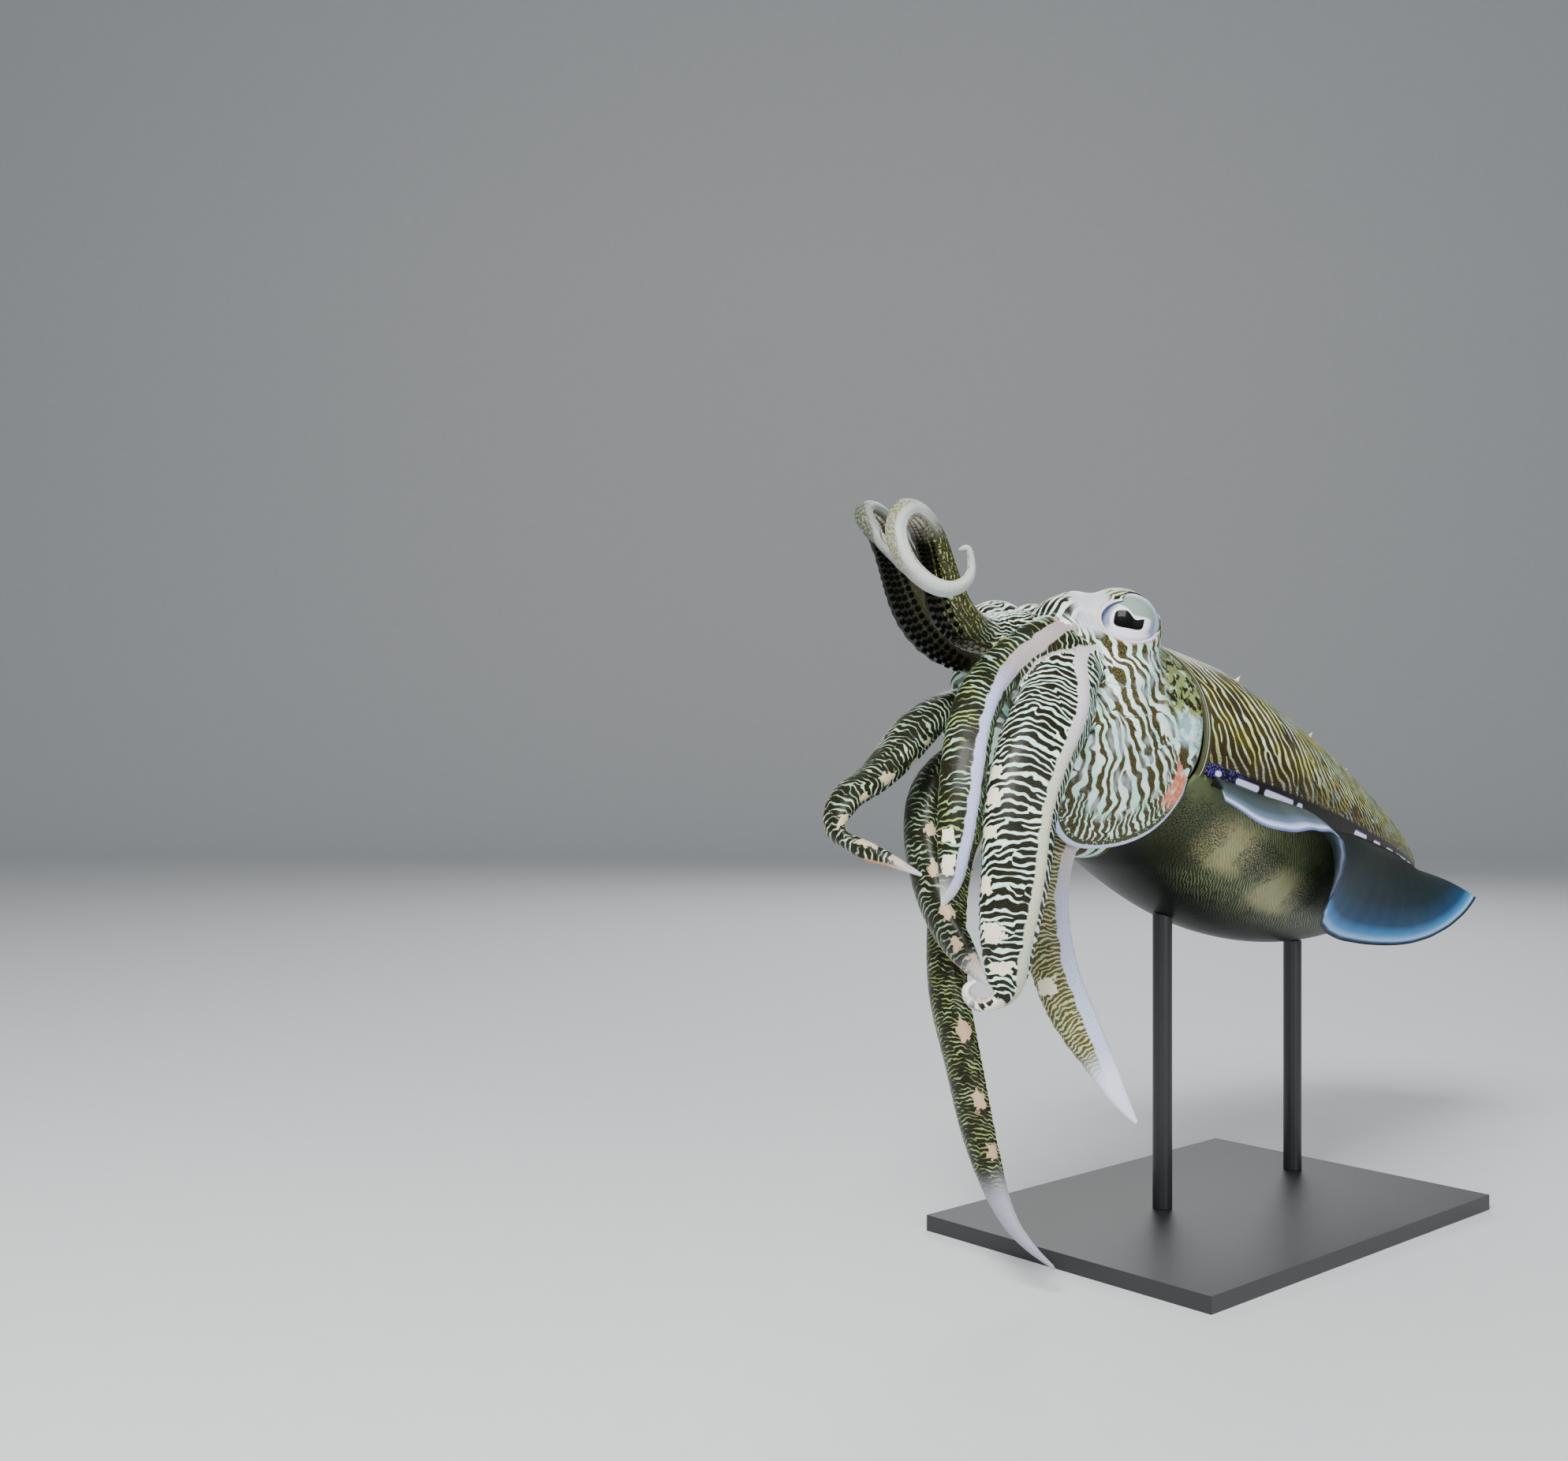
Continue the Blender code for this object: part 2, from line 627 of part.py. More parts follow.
def arm_frames(arm):
    """Frames along an arm, evenly spaced from its root to its tip."""
    root = (*from_head(*arm.root[:3]), arm.root[3])
    rows = spline([root, *arm.route], ARM_SAMPLES)
    centres = [Vector(r[:3]) for r in rows]
    last = ARM_SAMPLES - 1
    base, middle = [Vector(way).normalized() for way in arm.oral]
    frames = []
    for i, row in enumerate(rows):
        share = i / last
        along = (centres[min(i + 1, last)] - centres[max(i - 1, 0)]).normalized()
        oral = base.lerp(middle, clamp(share / ORAL_TURN_ENDS))
        behind, ahead = centres[max(i - BEND_REACH, 0)], centres[min(i + BEND_REACH, last)]
        bend = (behind + ahead) / 2 - centres[i]
        weight = clamp((share - arm.curl_from) / CURL_BLEND)
        if weight > 0 and bend.length > 0:
            oral = oral.normalized().lerp(bend.normalized(), weight)
        oral = (oral - along * oral.dot(along)).normalized()
        half_width = max(row[3], ARM_LEAST_HALF_WIDTH)
        frames.append(Frame(centres[i], along, oral, along.cross(oral), half_width))
    smooth_oral(frames)
    return frames


def smooth_oral(frames):
    """Evens out the turn of the oral side along an arm."""
    raw = [f.oral.copy() for f in frames]
    for i, frame in enumerate(frames):
        mean = sum(raw[max(i - ORAL_REACH, 0):i + ORAL_REACH + 1], Vector())
        mean -= frame.along * mean.dot(frame.along)
        if mean.length > 0:
            frame.oral = mean.normalized()
            frame.across = frame.along.cross(frame.oral)


def arm_length(frames):
    return sum((b.centre - a.centre).length for a, b in zip(frames, frames[1:]))


def arm_section(frame, depth, shift):
    """A ring of the arm: rounded outer face, flatter oral face."""
    middle = frame.centre + frame.along * shift
    ring = []
    for angle in ring_angles(ARM_SIDES):
        turned = angle + math.pi / ARM_SIDES
        lift = math.sin(turned) * (1 if math.sin(turned) > 0 else ORAL_FLATNESS)
        ring.append(middle + frame.wide * (frame.across * math.cos(turned) - frame.oral * depth * lift))
    return ring


def arm_rings(frames, arm, start, end, count, shift_first):
    """Rings from one sample to another; the first is moved along by the gap."""
    rings = []
    for i in range(count + 1):
        k = round(start + (end - start) * i / count)
        rings.append(arm_section(frames[k], arm.depth, shift_first if i == 0 else 0.0))
    return rings


def arm_cuts(arm, frames):
    """Sample numbers where the arm's three lengths begin and end."""
    last = ARM_SAMPLES - 1
    first = round(last * arm.starts / arm_length(frames))
    return [first] + [round(last * s) for s in arm.splits] + [last]


def cup(frame, row, scale, depth):
    """A sucker: a short flared cup with a dished mouth, its root sunk in the oral face."""
    radius = frame.wide * SUCKER_RADIUS * scale
    height = frame.wide * SUCKER_HEIGHT * scale
    across = frame.across * row
    aim = (frame.oral + across * SUCKER_TILT).normalized()
    side = aim.cross(frame.along)
    skin = ORAL_FLATNESS * depth * math.sqrt(1 - SUCKER_ROW ** 2) - SUCKER_SET_IN
    foot = frame.centre + frame.wide * (across * SUCKER_ROW + frame.oral * skin)
    verts = []
    for size, lift in ((SUCKER_FOOT, -SUCKER_SINK), (1.0, height)):
        verts += [foot + aim * lift + (frame.along * math.cos(a) + side * math.sin(a)) * radius * size
                  for a in ring_angles(SUCKER_SIDES)]
    verts.append(foot + aim * height * SUCKER_DISH)
    faces = [tuple(range(SUCKER_SIDES))]
    for j in range(SUCKER_SIDES):
        k = (j + 1) % SUCKER_SIDES
        faces.append((j, k, SUCKER_SIDES + k, SUCKER_SIDES + j))
        faces.append((SUCKER_SIDES + j, SUCKER_SIDES + k, 2 * SUCKER_SIDES))
    return add_object("cup", verts, faces, "arm")


def cups_along(arm, frames, start, end, draw):
    """Suckers of one length of an arm, in two staggered rows, smaller towards the tip."""
    step = arm_length(frames) / (ARM_SAMPLES - 1)
    cups = []
    at, row = start, 1
    while True:
        radius = frames[round(at)].wide * SUCKER_RADIUS
        half_stride = SUCKER_PITCH * max(radius, SUCKER_CLOSEST) / 2 / step
        margin = SUCKER_MARGIN * radius / step
        at += half_stride
        if at + margin > end or frames[round(at)].wide * SUCKER_RADIUS < SUCKER_LEAST:
            return cups
        if at - margin > start:
            cups.append(cup(frames[round(at)], row, draw.uniform(*SUCKER_SIZES), arm.depth))
            row = -row
        at += half_stride


def build_arms():
    """The three lengths of every arm; returns the roots that the head takes in."""
    roots = []
    draw = random.Random(SUCKER_SEED)
    for arm in ARMS:
        frames = arm_frames(arm)
        cuts = arm_cuts(arm, frames)
        roots.append((arm, frames, cuts[0]))
        for label, start, end, count in zip(ARM_LENGTHS, cuts, cuts[1:], arm.rings):
            rings = arm_rings(frames, arm, start, end, count, GAP)
            length = add_object(arm.name + "_" + label, *loft(rings), "arm")
            cups = cups_along(arm, frames, start, end, draw)
            if cups:
                boolean(length, cups, "UNION")
    return roots


def build_head(roots):
    """Head with cheek flaps, lids and the fused roots of the arms, with the sockets cut."""
    head = add_object("head", *loft([head_ring(*r) for r in HEAD_RINGS]), "head")
    pieces = [build_flap(side) for side in (1, -1)]
    pieces += [ball("lid", lid_centre(side), LID_RADIUS, "head", gaze(side)) for side in (1, -1)]
    pieces += [ball("filling", from_head(x, y, z), radius, "head", gaze(1)) for x, y, z, radius in FILLINGS]
    for arm, frames, end in roots:
        rings = arm_rings(frames, arm, 0, end, ROOT_RINGS, 0.0)
        pieces.append(add_object("root", *loft(rings), "head"))
    boolean(head, pieces, "UNION")
    radius = EYE_RADIUS + SOCKET_CLEAR
    cutters = [ball("socket", eye_centre(side), radius, "head", gaze(side)) for side in (1, -1)]
    cutters += [lid_opening(side) for side in (1, -1)]
    boolean(head, cutters, "DIFFERENCE")


def build_eyes():
    for side, name in ((1, "eye_left"), (-1, "eye_right")):
        ball(name, eye_centre(side), EYE_RADIUS, "eye", gaze(side))


def build_funnel():
    """The funnel: a tapered tube under the head with a short open mouth."""
    rings = [funnel_ring(*r) for r in FUNNEL_RINGS]
    x, z, wide, high = FUNNEL_RINGS[-1]
    bore = FUNNEL_WALL + FUNNEL_BORE_TAPER
    rings.append(funnel_ring(x, z, wide - FUNNEL_WALL, high - FUNNEL_WALL))
    rings.append(funnel_ring(x - FUNNEL_BORE, z + FUNNEL_BORE_RISE, wide - bore, high - bore))
    add_object("funnel", *loft(rings), "funnel")


def funnel_ring(x, z, wide, high):
    return [from_head(x, wide * math.cos(a), z + high * math.sin(a)) for a in ring_angles(FUNNEL_SIDES)]


def fin_edge(table, share):
    """Offset of a fin's free edge, read from its table and evened out over its neighbours."""
    shares = [clamp(share + step * FIN_SPREAD) for step in (-1, 0, 1)]
    columns = [[(row[0], row[d]) for row in table] for d in (1, 2, 3)]
    return Vector([sum(interpolate(column, at) for at in shares) / len(shares) for column in columns])


def fin_root(place, lift):
    """A point where a fin's upper or lower face meets the mantle, just off its surface."""
    belly = mantle_section(place)[2]
    half = FIN_ROOT / 2 * min(1.0, belly / FIN_FULL_BELLY)
    return mantle_point(place, FIN_ANGLE + lift * half / belly, -FIN_OFF_MANTLE)


def fin_point(share, reach, side, table, lift):
    """A point of a fin: share along its root, reach out to its edge, lift to either face."""
    place = FIN_SPAN[0] + (FIN_SPAN[1] - FIN_SPAN[0]) * share
    upper, lower = fin_root(place, 1), fin_root(place, -1)
    offset = fin_edge(table, share)
    bow = FIN_BOW * math.sin(math.pi * reach)
    spread = clamp((offset.y - FIN_FOLD[0]) / FIN_FOLD[1])
    normal = Vector((0, -offset.z, offset.y + FIN_FOLD_LEAN)).normalized()
    point = (upper + lower) / 2 + offset * reach + Vector((0, 1 - spread, spread)) * bow
    point += (upper - lower) / 2 * lift * (1 - reach) ** 2
    point += normal * lift * FIN_EDGE / 2 * clamp(reach * FIN_THIN_BY)
    return from_body(point.x, side * point.y, point.z)


def build_fin(name, side, table, start, end, along):
    """One length of a fin as a thin solid, split into triangles alike on both faces."""
    across = ACROSS_CELLS
    shares = [start + (end - start) * i / along for i in range(along + 1)]
    top = [[fin_point(s, r / across, side, table, 1) for r in range(across + 1)] for s in shares]
    low = [[fin_point(s, r / across, side, table, -1) for r in range(across + 1)] for s in shares]
    width = across + 1
    verts = [p for row in top for p in row] + [p for row in low for p in row]
    base = (along + 1) * width
    faces = []
    for i in range(along):
        for r in range(across):
            a, b = i * width + r, (i + 1) * width + r
            faces += [(a, b, b + 1), (a, b + 1, a + 1)]
            faces += [(base + a, base + b + 1, base + b), (base + a, base + a + 1, base + b + 1)]
        a, b = i * width, (i + 1) * width
        faces += [(a, base + a, base + b), (a, base + b, b)]
        a, b = a + across, b + across
        faces += [(a, b, base + b), (a, base + b, base + a)]
    for row, turn in ((0, 1), (along, -1)):
        for r in range(across):
            a = row * width + r
            faces += [(a, a + 1, base + a + 1)[::turn], (a, base + a + 1, base + a)[::turn]]
    add_object(name, verts, faces, "fin")


def build_fins():
    slit = FIN_SLIT / (MANTLE_LENGTH * (FIN_SPAN[1] - FIN_SPAN[0]))
    for side, label, table in ((1, "left", LEFT_EDGE), (-1, "right", RIGHT_EDGE)):
        build_fin(f"fin_{label}_front", side, table, 0.0, FIN_SPLIT, FRONT_CELLS)
        build_fin(f"fin_{label}_rear", side, table, FIN_SPLIT + slit, 1.0, REAR_CELLS)


def lowest_arm_point():
    low = 0.0
    for arm in ARMS:
        for frame in arm_frames(arm):
            low = min(low, frame.centre.z - frame.wide * arm.depth)
    return low


def belly_points():
    """Points of the mantle's underside, in level axes."""
    rows, columns = BELLY_GRID
    shares = [BELLY_SHARES[0] + (BELLY_SHARES[1] - BELLY_SHARES[0]) * i / rows for i in range(rows + 1)]
    first, last = BELLY_ANGLES
    angles = [first + (last - first) * j / columns for j in range(columns + 1)]
    return [from_body(*mantle_point(share, angle)) for share in shares for angle in angles]


def height_over(points, x, y):
    """Height of the point that lies nearest over a place on the floor."""
    return min(points, key=lambda p: math.hypot(p.x - x, p.y - y)).z


def build_stand():
    """Flat plate and two short rods up to the belly."""
    wide, long, thick = PLATE_SIZE
    top = lowest_arm_point() - FLOOR_BELOW_ARM
    corners = [(sx * wide / 2, PLATE_AT_Y + sy * long / 2) for sx, sy in ((-1, -1), (1, -1), (1, 1), (-1, 1))]
    rings = [[Vector((x, y, z)) for x, y in corners] for z in (top - thick, top)]
    add_object("stand_base", *loft(rings), "stand")
    belly = belly_points()
    for name, (x, y) in zip(("stand_rod_front", "stand_rod_rear"), ROD_AT):
        ends = [(x + ROD_RADIUS * math.cos(a), y + ROD_RADIUS * math.sin(a)) for a in ring_angles(ROD_SIDES)]
        low = [Vector((px, py, top + GAP)) for px, py in ends]
        high = [Vector((px, py, height_over(belly, px, py) - ROD_CLEAR)) for px, py in ends]
        add_object(name, *loft([low, high]), "stand")


def settle_on_floor():
    """Moves every mesh so that the model's box stands on Z = 0 with its middle at the origin."""
    points = [v.co for obj in bpy.data.objects for v in obj.data.vertices]
    low = Vector([min(p[d] for p in points) for d in range(3)])
    high = Vector([max(p[d] for p in points) for d in range(3)])
    move = Matrix.Translation((-(low.x + high.x) / 2, -(low.y + high.y) / 2, -low.z))
    for obj in bpy.data.objects:
        obj.data.transform(move)


def main():
    clear_scene()
    build_mantle()
    roots = build_arms()
    build_head(roots)
    build_eyes()
    build_funnel()
    build_fins()
    build_stand()
    settle_on_floor()


main()
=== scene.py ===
"""Looks of the still display model of a male pharaoh cuttlefish.

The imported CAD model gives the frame: the stand stays, and one smooth skin takes the place of the
head, the funnel and every arm, another that of the mantle. Eyes, fins and suckers are pieces of
their own. Lengths in the tables are millimetres and MM turns them into metres. Three sets of
axes are used, as in the CAD source:
  body axes   ahead, left, up from the centre of the mantle's front rim, pitched and rolled;
  head axes   the same centre and pitch with the head's own roll;
  level axes  the model's own axes with their origin in the middle of the arm crown.
"""
from __future__ import annotations

import logging
import math
from dataclasses import dataclass, field
from enum import Enum, IntEnum

import bpy
import numpy as np
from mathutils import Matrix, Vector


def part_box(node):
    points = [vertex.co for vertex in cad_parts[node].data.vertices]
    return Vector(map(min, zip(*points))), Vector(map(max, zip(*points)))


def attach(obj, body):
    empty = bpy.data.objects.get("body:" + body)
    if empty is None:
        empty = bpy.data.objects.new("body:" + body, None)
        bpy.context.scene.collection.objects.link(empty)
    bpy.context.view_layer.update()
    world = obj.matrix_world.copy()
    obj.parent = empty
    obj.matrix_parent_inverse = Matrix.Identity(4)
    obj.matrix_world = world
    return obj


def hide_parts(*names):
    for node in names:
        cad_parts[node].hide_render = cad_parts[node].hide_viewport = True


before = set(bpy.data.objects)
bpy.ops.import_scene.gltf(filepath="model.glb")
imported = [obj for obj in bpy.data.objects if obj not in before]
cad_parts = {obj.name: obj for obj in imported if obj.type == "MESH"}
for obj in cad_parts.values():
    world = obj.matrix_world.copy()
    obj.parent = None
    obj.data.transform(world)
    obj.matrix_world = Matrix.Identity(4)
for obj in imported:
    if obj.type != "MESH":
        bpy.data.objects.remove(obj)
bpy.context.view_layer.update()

LOG = logging.getLogger("cuttlefish")
Socket = bpy.types.NodeSocket
MM = 0.001

PITCH = math.radians(13.0)
BODY_ROLL = math.radians(-9.0)
HEAD_ROLL = math.radians(2.0)
RIM_FROM_CROWN = np.array((-7.0, 37.0, -25.0))
EYE_AT = np.array((47.3, 43.8, 41.0))
EYE_RADIUS = 14.8
EYE_AHEAD = math.radians(44.0)
EYE_UP = math.radians(-4.0)
LID_FROM_EYE = np.array((-1.0, -6.5, -3.5))
LID_OPENING = (12.9, 8.9)
AWAY_FROM_RIM = 0.1
WATER_IOR = 1.34


class Side(Enum):
    """The two sides of the animal; the value is the sign of the way to the left."""

    LEFT = 1
    RIGHT = -1


class Join(Enum):
    """How closed surfaces meet, with the Boolean's own word for it."""

    ADD = "UNION"
    CUT = "DIFFERENCE"


class Source(IntEnum):
    """Numbers that say on a joined skin's faces which surface they came from; arms count on."""

    SKULL = 0
    FUNNEL = 1
    FLAP = 2
    LID = 3
    FILLING = 4
    ARM = 10
    EYE_CUT = 30


def tilted_axes(roll: float) -> np.ndarray:
    """Rows forward, left and up of a part that is pitched with the body and rolled by roll.

    Args:
        roll: turn about the forward axis in radians.

    Returns:
        A 3 by 3 array of unit rows.
    """
    forward = np.array((0, -math.cos(PITCH), math.sin(PITCH)))
    level_left = np.array((1.0, 0, 0))
    level_up = np.cross(forward, level_left)
    left = level_left * math.cos(roll) + level_up * math.sin(roll)
    return np.stack([forward, left, np.cross(forward, left)])


BODY_AXES = tilted_axes(BODY_ROLL)
HEAD_AXES = tilted_axes(HEAD_ROLL)


def from_head(points: np.ndarray) -> np.ndarray:
    """Points of head axes in level axes, in millimetres."""
    return RIM_FROM_CROWN + np.asarray(points, float) @ HEAD_AXES


def from_body(points: np.ndarray) -> np.ndarray:
    """Points of body axes in level axes, in millimetres."""
    return RIM_FROM_CROWN + np.asarray(points, float) @ BODY_AXES


def eye_shift() -> np.ndarray:
    """Offset from level axes to the frame, in millimetres, read from the left eye's CAD node.

    Returns:
        Three lengths in millimetres.
    """
    low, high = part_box("eye_left")
    middle = (np.array(low) + np.array(high)) / 2 / MM
    return middle - from_head(EYE_AT)


SHIFT = eye_shift()


def smooth(value: np.ndarray, low: float, high: float) -> np.ndarray:
    """Smooth step: 0 below low, 1 above high, 3k squared minus 2k cubed between."""
    k = np.clip((value - low) / (high - low), 0, 1)
    return k * k * (3 - 2 * k)


def hill(value: np.ndarray, middle: float, width: float) -> np.ndarray:
    """A bell: e to the minus square of the distance from middle in widths."""
    return np.exp(-((value - middle) / width) ** 2)


def curve_through(points: np.ndarray, samples: int) -> np.ndarray:
    """Evenly spaced samples of the natural cubic through rows of numbers.

    Between two rows it is the straight blend plus a cubic that carries the second derivatives,
    which come from one linear system with nothing at the ends. The first three columns are the
    place, and the curve's parameter is the straight distance from row to row.

    Args:
        points: rows to pass through.
        samples: number of rows to return.

    Returns:
        An array of samples rows.
    """
    knots = np.concatenate([[0], np.cumsum(np.linalg.norm(np.diff(points[:, :3], axis=0), axis=1))])
    gaps = np.diff(knots)[:, None]
    count = len(points)
    left, right = np.eye(count), np.zeros_like(points)
    i = np.arange(1, count - 1)
    left[i, i - 1], left[i, i + 1] = gaps[:-1, 0], gaps[1:, 0]
    left[i, i] = 2 * (gaps[:-1, 0] + gaps[1:, 0])
    slopes = np.diff(points, axis=0) / gaps
    right[i] = 6 * np.diff(slopes, axis=0)
    bends = np.linalg.solve(left, right)
    at = np.linspace(0, knots[-1], samples)
    k = np.clip(np.searchsorted(knots[1:-1], at, side="right"), 0, count - 2)
    gap = gaps[k]
    a = (knots[k + 1] - at)[:, None] / gap
    b = 1 - a
    cubic = ((a ** 3 - a) * bends[k] + (b ** 3 - b) * bends[k + 1]) * gap ** 2 / 6
    return a * points[k] + b * points[k + 1] + cubic


def unit(rows: np.ndarray) -> np.ndarray:
    """Rows scaled to length one."""
    return rows / np.maximum(np.linalg.norm(rows, axis=-1, keepdims=True), 1e-9)


@dataclass
class Shell:
    """A closed surface ready to become a mesh: points in level millimetres and its faces.

    corners holds, for each named UV map, one pair for every corner of every face, in order.
    values holds one number for every point, for each named attribute.
    """

    points: np.ndarray
    quads: np.ndarray
    corners: dict = field(default_factory=dict)
    values: dict = field(default_factory=dict)
    triangles: np.ndarray = None
    tips: dict = field(default_factory=dict)


def volume_of(points: np.ndarray, faces: np.ndarray) -> float:
    """Six times the signed volume under a surface: a dot (b cross c) summed over its triangles.

    Args:
        points: the surface's points.
        faces: its faces, each split into triangles from its first corner.

    Returns:
        The sum, which is above zero where the faces point outwards.
    """
    total = 0.0
    for k in range(2, faces.shape[1]):
        a, b, c = points[faces[:, 0]], points[faces[:, k - 1]], points[faces[:, k]]
        total += float(np.sum(a * np.cross(b, c)))
    return total


def tube(rings: np.ndarray, maps: dict, ends: tuple = None) -> Shell:
    """A closed tube through rings of points, each end drawn to a pole.

    Args:
        rings: array of n rings by m points by 3.
        maps: for each UV map an array of n by m + 1 by 2, its last column at the seam.
        ends: the two pole points, or None for the middle of the end rings.

    Returns:
        The shell with quads between rings and a fan of triangles at each pole.
    """
    n, m = rings.shape[:2]
    poles = np.array(ends) if ends is not None else np.stack([rings[0].mean(0), rings[-1].mean(0)])
    points = np.concatenate([rings.reshape(-1, 3), poles])
    i, j = np.arange(n - 1)[:, None], np.arange(m)[None]
    k = (j + 1) % m
    low, high = i * m, (i + 1) * m
    quads = np.stack([low + j, low + k, high + k, high + j], -1).reshape(-1, 4)
    j, k = np.arange(m), (np.arange(m) + 1) % m
    first = np.stack([k, j, np.full(m, n * m)], -1)
    last = np.stack([(n - 1) * m + j, (n - 1) * m + k, np.full(m, n * m + 1)], -1)
    shell = Shell(points, quads, triangles=np.concatenate([first, last]))
    for name, grid in maps.items():
        a, b = grid[:-1, :-1], grid[:-1, 1:]
        c, d = grid[1:, 1:], grid[1:, :-1]
        shell.corners[name] = np.stack([a, b, c, d], 2).reshape(-1, 4, 2)
        starts = np.stack([grid[0, 1:], grid[0, :-1], (grid[0, 1:] + grid[0, :-1]) / 2], 1)
        finishes = np.stack([grid[-1, :-1], grid[-1, 1:], (grid[-1, 1:] + grid[-1, :-1]) / 2], 1)
        shell.tips[name] = np.concatenate([starts, finishes])
    if volume_of(points, quads) < 0:
        shell.quads, shell.triangles = shell.quads[:, ::-1], shell.triangles[:, ::-1]
        shell.corners = {key: value[:, ::-1] for key, value in shell.corners.items()}
        shell.tips = {key: value[:, ::-1] for key, value in shell.tips.items()}
    return shell


def stacks(points: np.ndarray, tops: np.ndarray, feet: np.ndarray) -> Shell:
    """Many closed stacks of rings in one surface, such as cups or cones.

    Args:
        points: array of stacks by rings by sides by 3.
        tops: for each stack the point that closes its last ring.
        feet: for each stack the point that closes its first ring.

    Returns:
        The shell, with its faces turned outwards.
    """
    count, rings, sides = points.shape[:3]
    flat = np.concatenate([points.reshape(-1, 3), tops, feet])
    base = np.arange(count)[:, None, None] * rings * sides
    low, j = base + np.arange(rings - 1)[None, :, None] * sides, np.arange(sides)[None, None]
    high, k = low + sides, (j + 1) % sides
    quads = np.stack([low + j, low + k, high + k, high + j], -1).reshape(-1, 4)
    first, last, j, k = base[:, 0], base[:, 0] + (rings - 1) * sides, j[0], k[0]
    pole = count * rings * sides + np.arange(count)[:, None] + 0 * j
    fans = np.concatenate([np.stack([last + j, last + k, pole], -1).reshape(-1, 3),
                           np.stack([first + k, first + j, pole + count], -1).reshape(-1, 3)])
    way = -1 if volume_of(flat, quads) < 0 else 1
    return Shell(flat, quads[:, ::way], triangles=fans[:, ::way])


def spread(shape: tuple, *columns: np.ndarray) -> np.ndarray:
    """Columns spread over a grid of points and stacked along a last axis."""
    return np.stack([np.broadcast_to(column, shape) for column in columns], -1)


def make_object(name: str, shell: Shell, materials: list, source: int = 0) -> bpy.types.Object:
    """A smooth mesh object from a shell, in the frame's metres.

    Args:
        name: the object's name.
        shell: the surface in level millimetres.
        materials: its material slots.
        source: number kept on each face, to find where two surfaces were joined.

    Returns:
        The new object, linked to the scene.
    """
    mesh = bpy.data.meshes.new(name)
    faces = shell.quads.tolist()
    if shell.triangles is not None:
        faces += shell.triangles.tolist()
    mesh.from_pydata(((shell.points + SHIFT) * MM).tolist(), [], faces)
    for key, corners in shell.corners.items():
        flat = corners.reshape(-1, 2)
        if shell.triangles is not None:
            flat = np.concatenate([flat, shell.tips[key].reshape(-1, 2)])
        layer = mesh.uv_layers.new(name=key)
        layer.uv.foreach_set("vector", flat.astype(np.float32).ravel())
    for key, values in shell.values.items():
        mesh.attributes.new(key, "FLOAT", "POINT").data.foreach_set("value", values.astype(np.float32))
    origin = mesh.attributes.new("source", "INT", "FACE")
    origin.data.foreach_set("value", np.full(len(faces), source, np.int32))
    for item in materials:
        mesh.materials.append(item)
    mesh.shade_smooth()
    obj = bpy.data.objects.new(name, mesh)
    bpy.context.scene.collection.objects.link(obj)
    return obj


def combine(obj: bpy.types.Object, pieces: list, how: Join) -> None:
    """Joins or cuts a closed object by closed pieces in one Boolean, and removes the pieces.

    Args:
        obj: the object that is changed.
        pieces: the objects that it is joined to or cut by.
        how: whether they are added or cut away.
    """
    group = bpy.data.collections.new(obj.name + "_pieces")
    bpy.context.scene.collection.children.link(group)
    for piece in pieces:
        group.objects.link(piece)
    change = obj.modifiers.new("join", "BOOLEAN")
    change.operation = how.value
    change.operand_type = "COLLECTION"
    change.collection = group
    change.solver = "MANIFOLD"
    change.material_mode = "TRANSFER"
    with bpy.context.temp_override(object=obj, active_object=obj):
        bpy.ops.object.modifier_apply(modifier=change.name)
    for piece in pieces:
        bpy.data.objects.remove(piece, do_unlink=True)
    bpy.data.collections.remove(group)


def read_points(mesh: bpy.types.Mesh) -> np.ndarray:
    """All points of a mesh as an array of rows.

    Args:
        mesh: the mesh to read.

    Returns:
        The array, in metres.
    """
    flat = np.zeros(len(mesh.vertices) * 3, np.float32)
    mesh.vertices.foreach_get("co", flat)
    return flat.reshape(-1, 3).astype(float)


def seam_edges(mesh: bpy.types.Mesh) -> tuple:
    """Edges of a mesh as pairs, and those whose two faces came from different surfaces.

    Args:
        mesh: a mesh whose faces hold the number source.

    Returns:
        Two arrays of pairs of points: all edges and those at a join.
    """
    source = np.zeros(len(mesh.polygons), np.int32)
    mesh.attributes["source"].data.foreach_get("value", source)
    totals = np.zeros(len(mesh.polygons), np.int32)
    mesh.polygons.foreach_get("loop_total", totals)
    per_corner = np.repeat(source, totals)
    edge_of = np.zeros(len(mesh.loops), np.int32)
    mesh.loops.foreach_get("edge_index", edge_of)
    low = np.full(len(mesh.edges), 1 << 30)
    high = np.full(len(mesh.edges), -1)
    np.minimum.at(low, edge_of, per_corner)
    np.maximum.at(high, edge_of, per_corner)
    pairs = np.zeros(len(mesh.edges) * 2, np.int32)
    mesh.edges.foreach_get("vertices", pairs)
    pairs = pairs.reshape(-1, 2)
    return pairs, pairs[low != high]


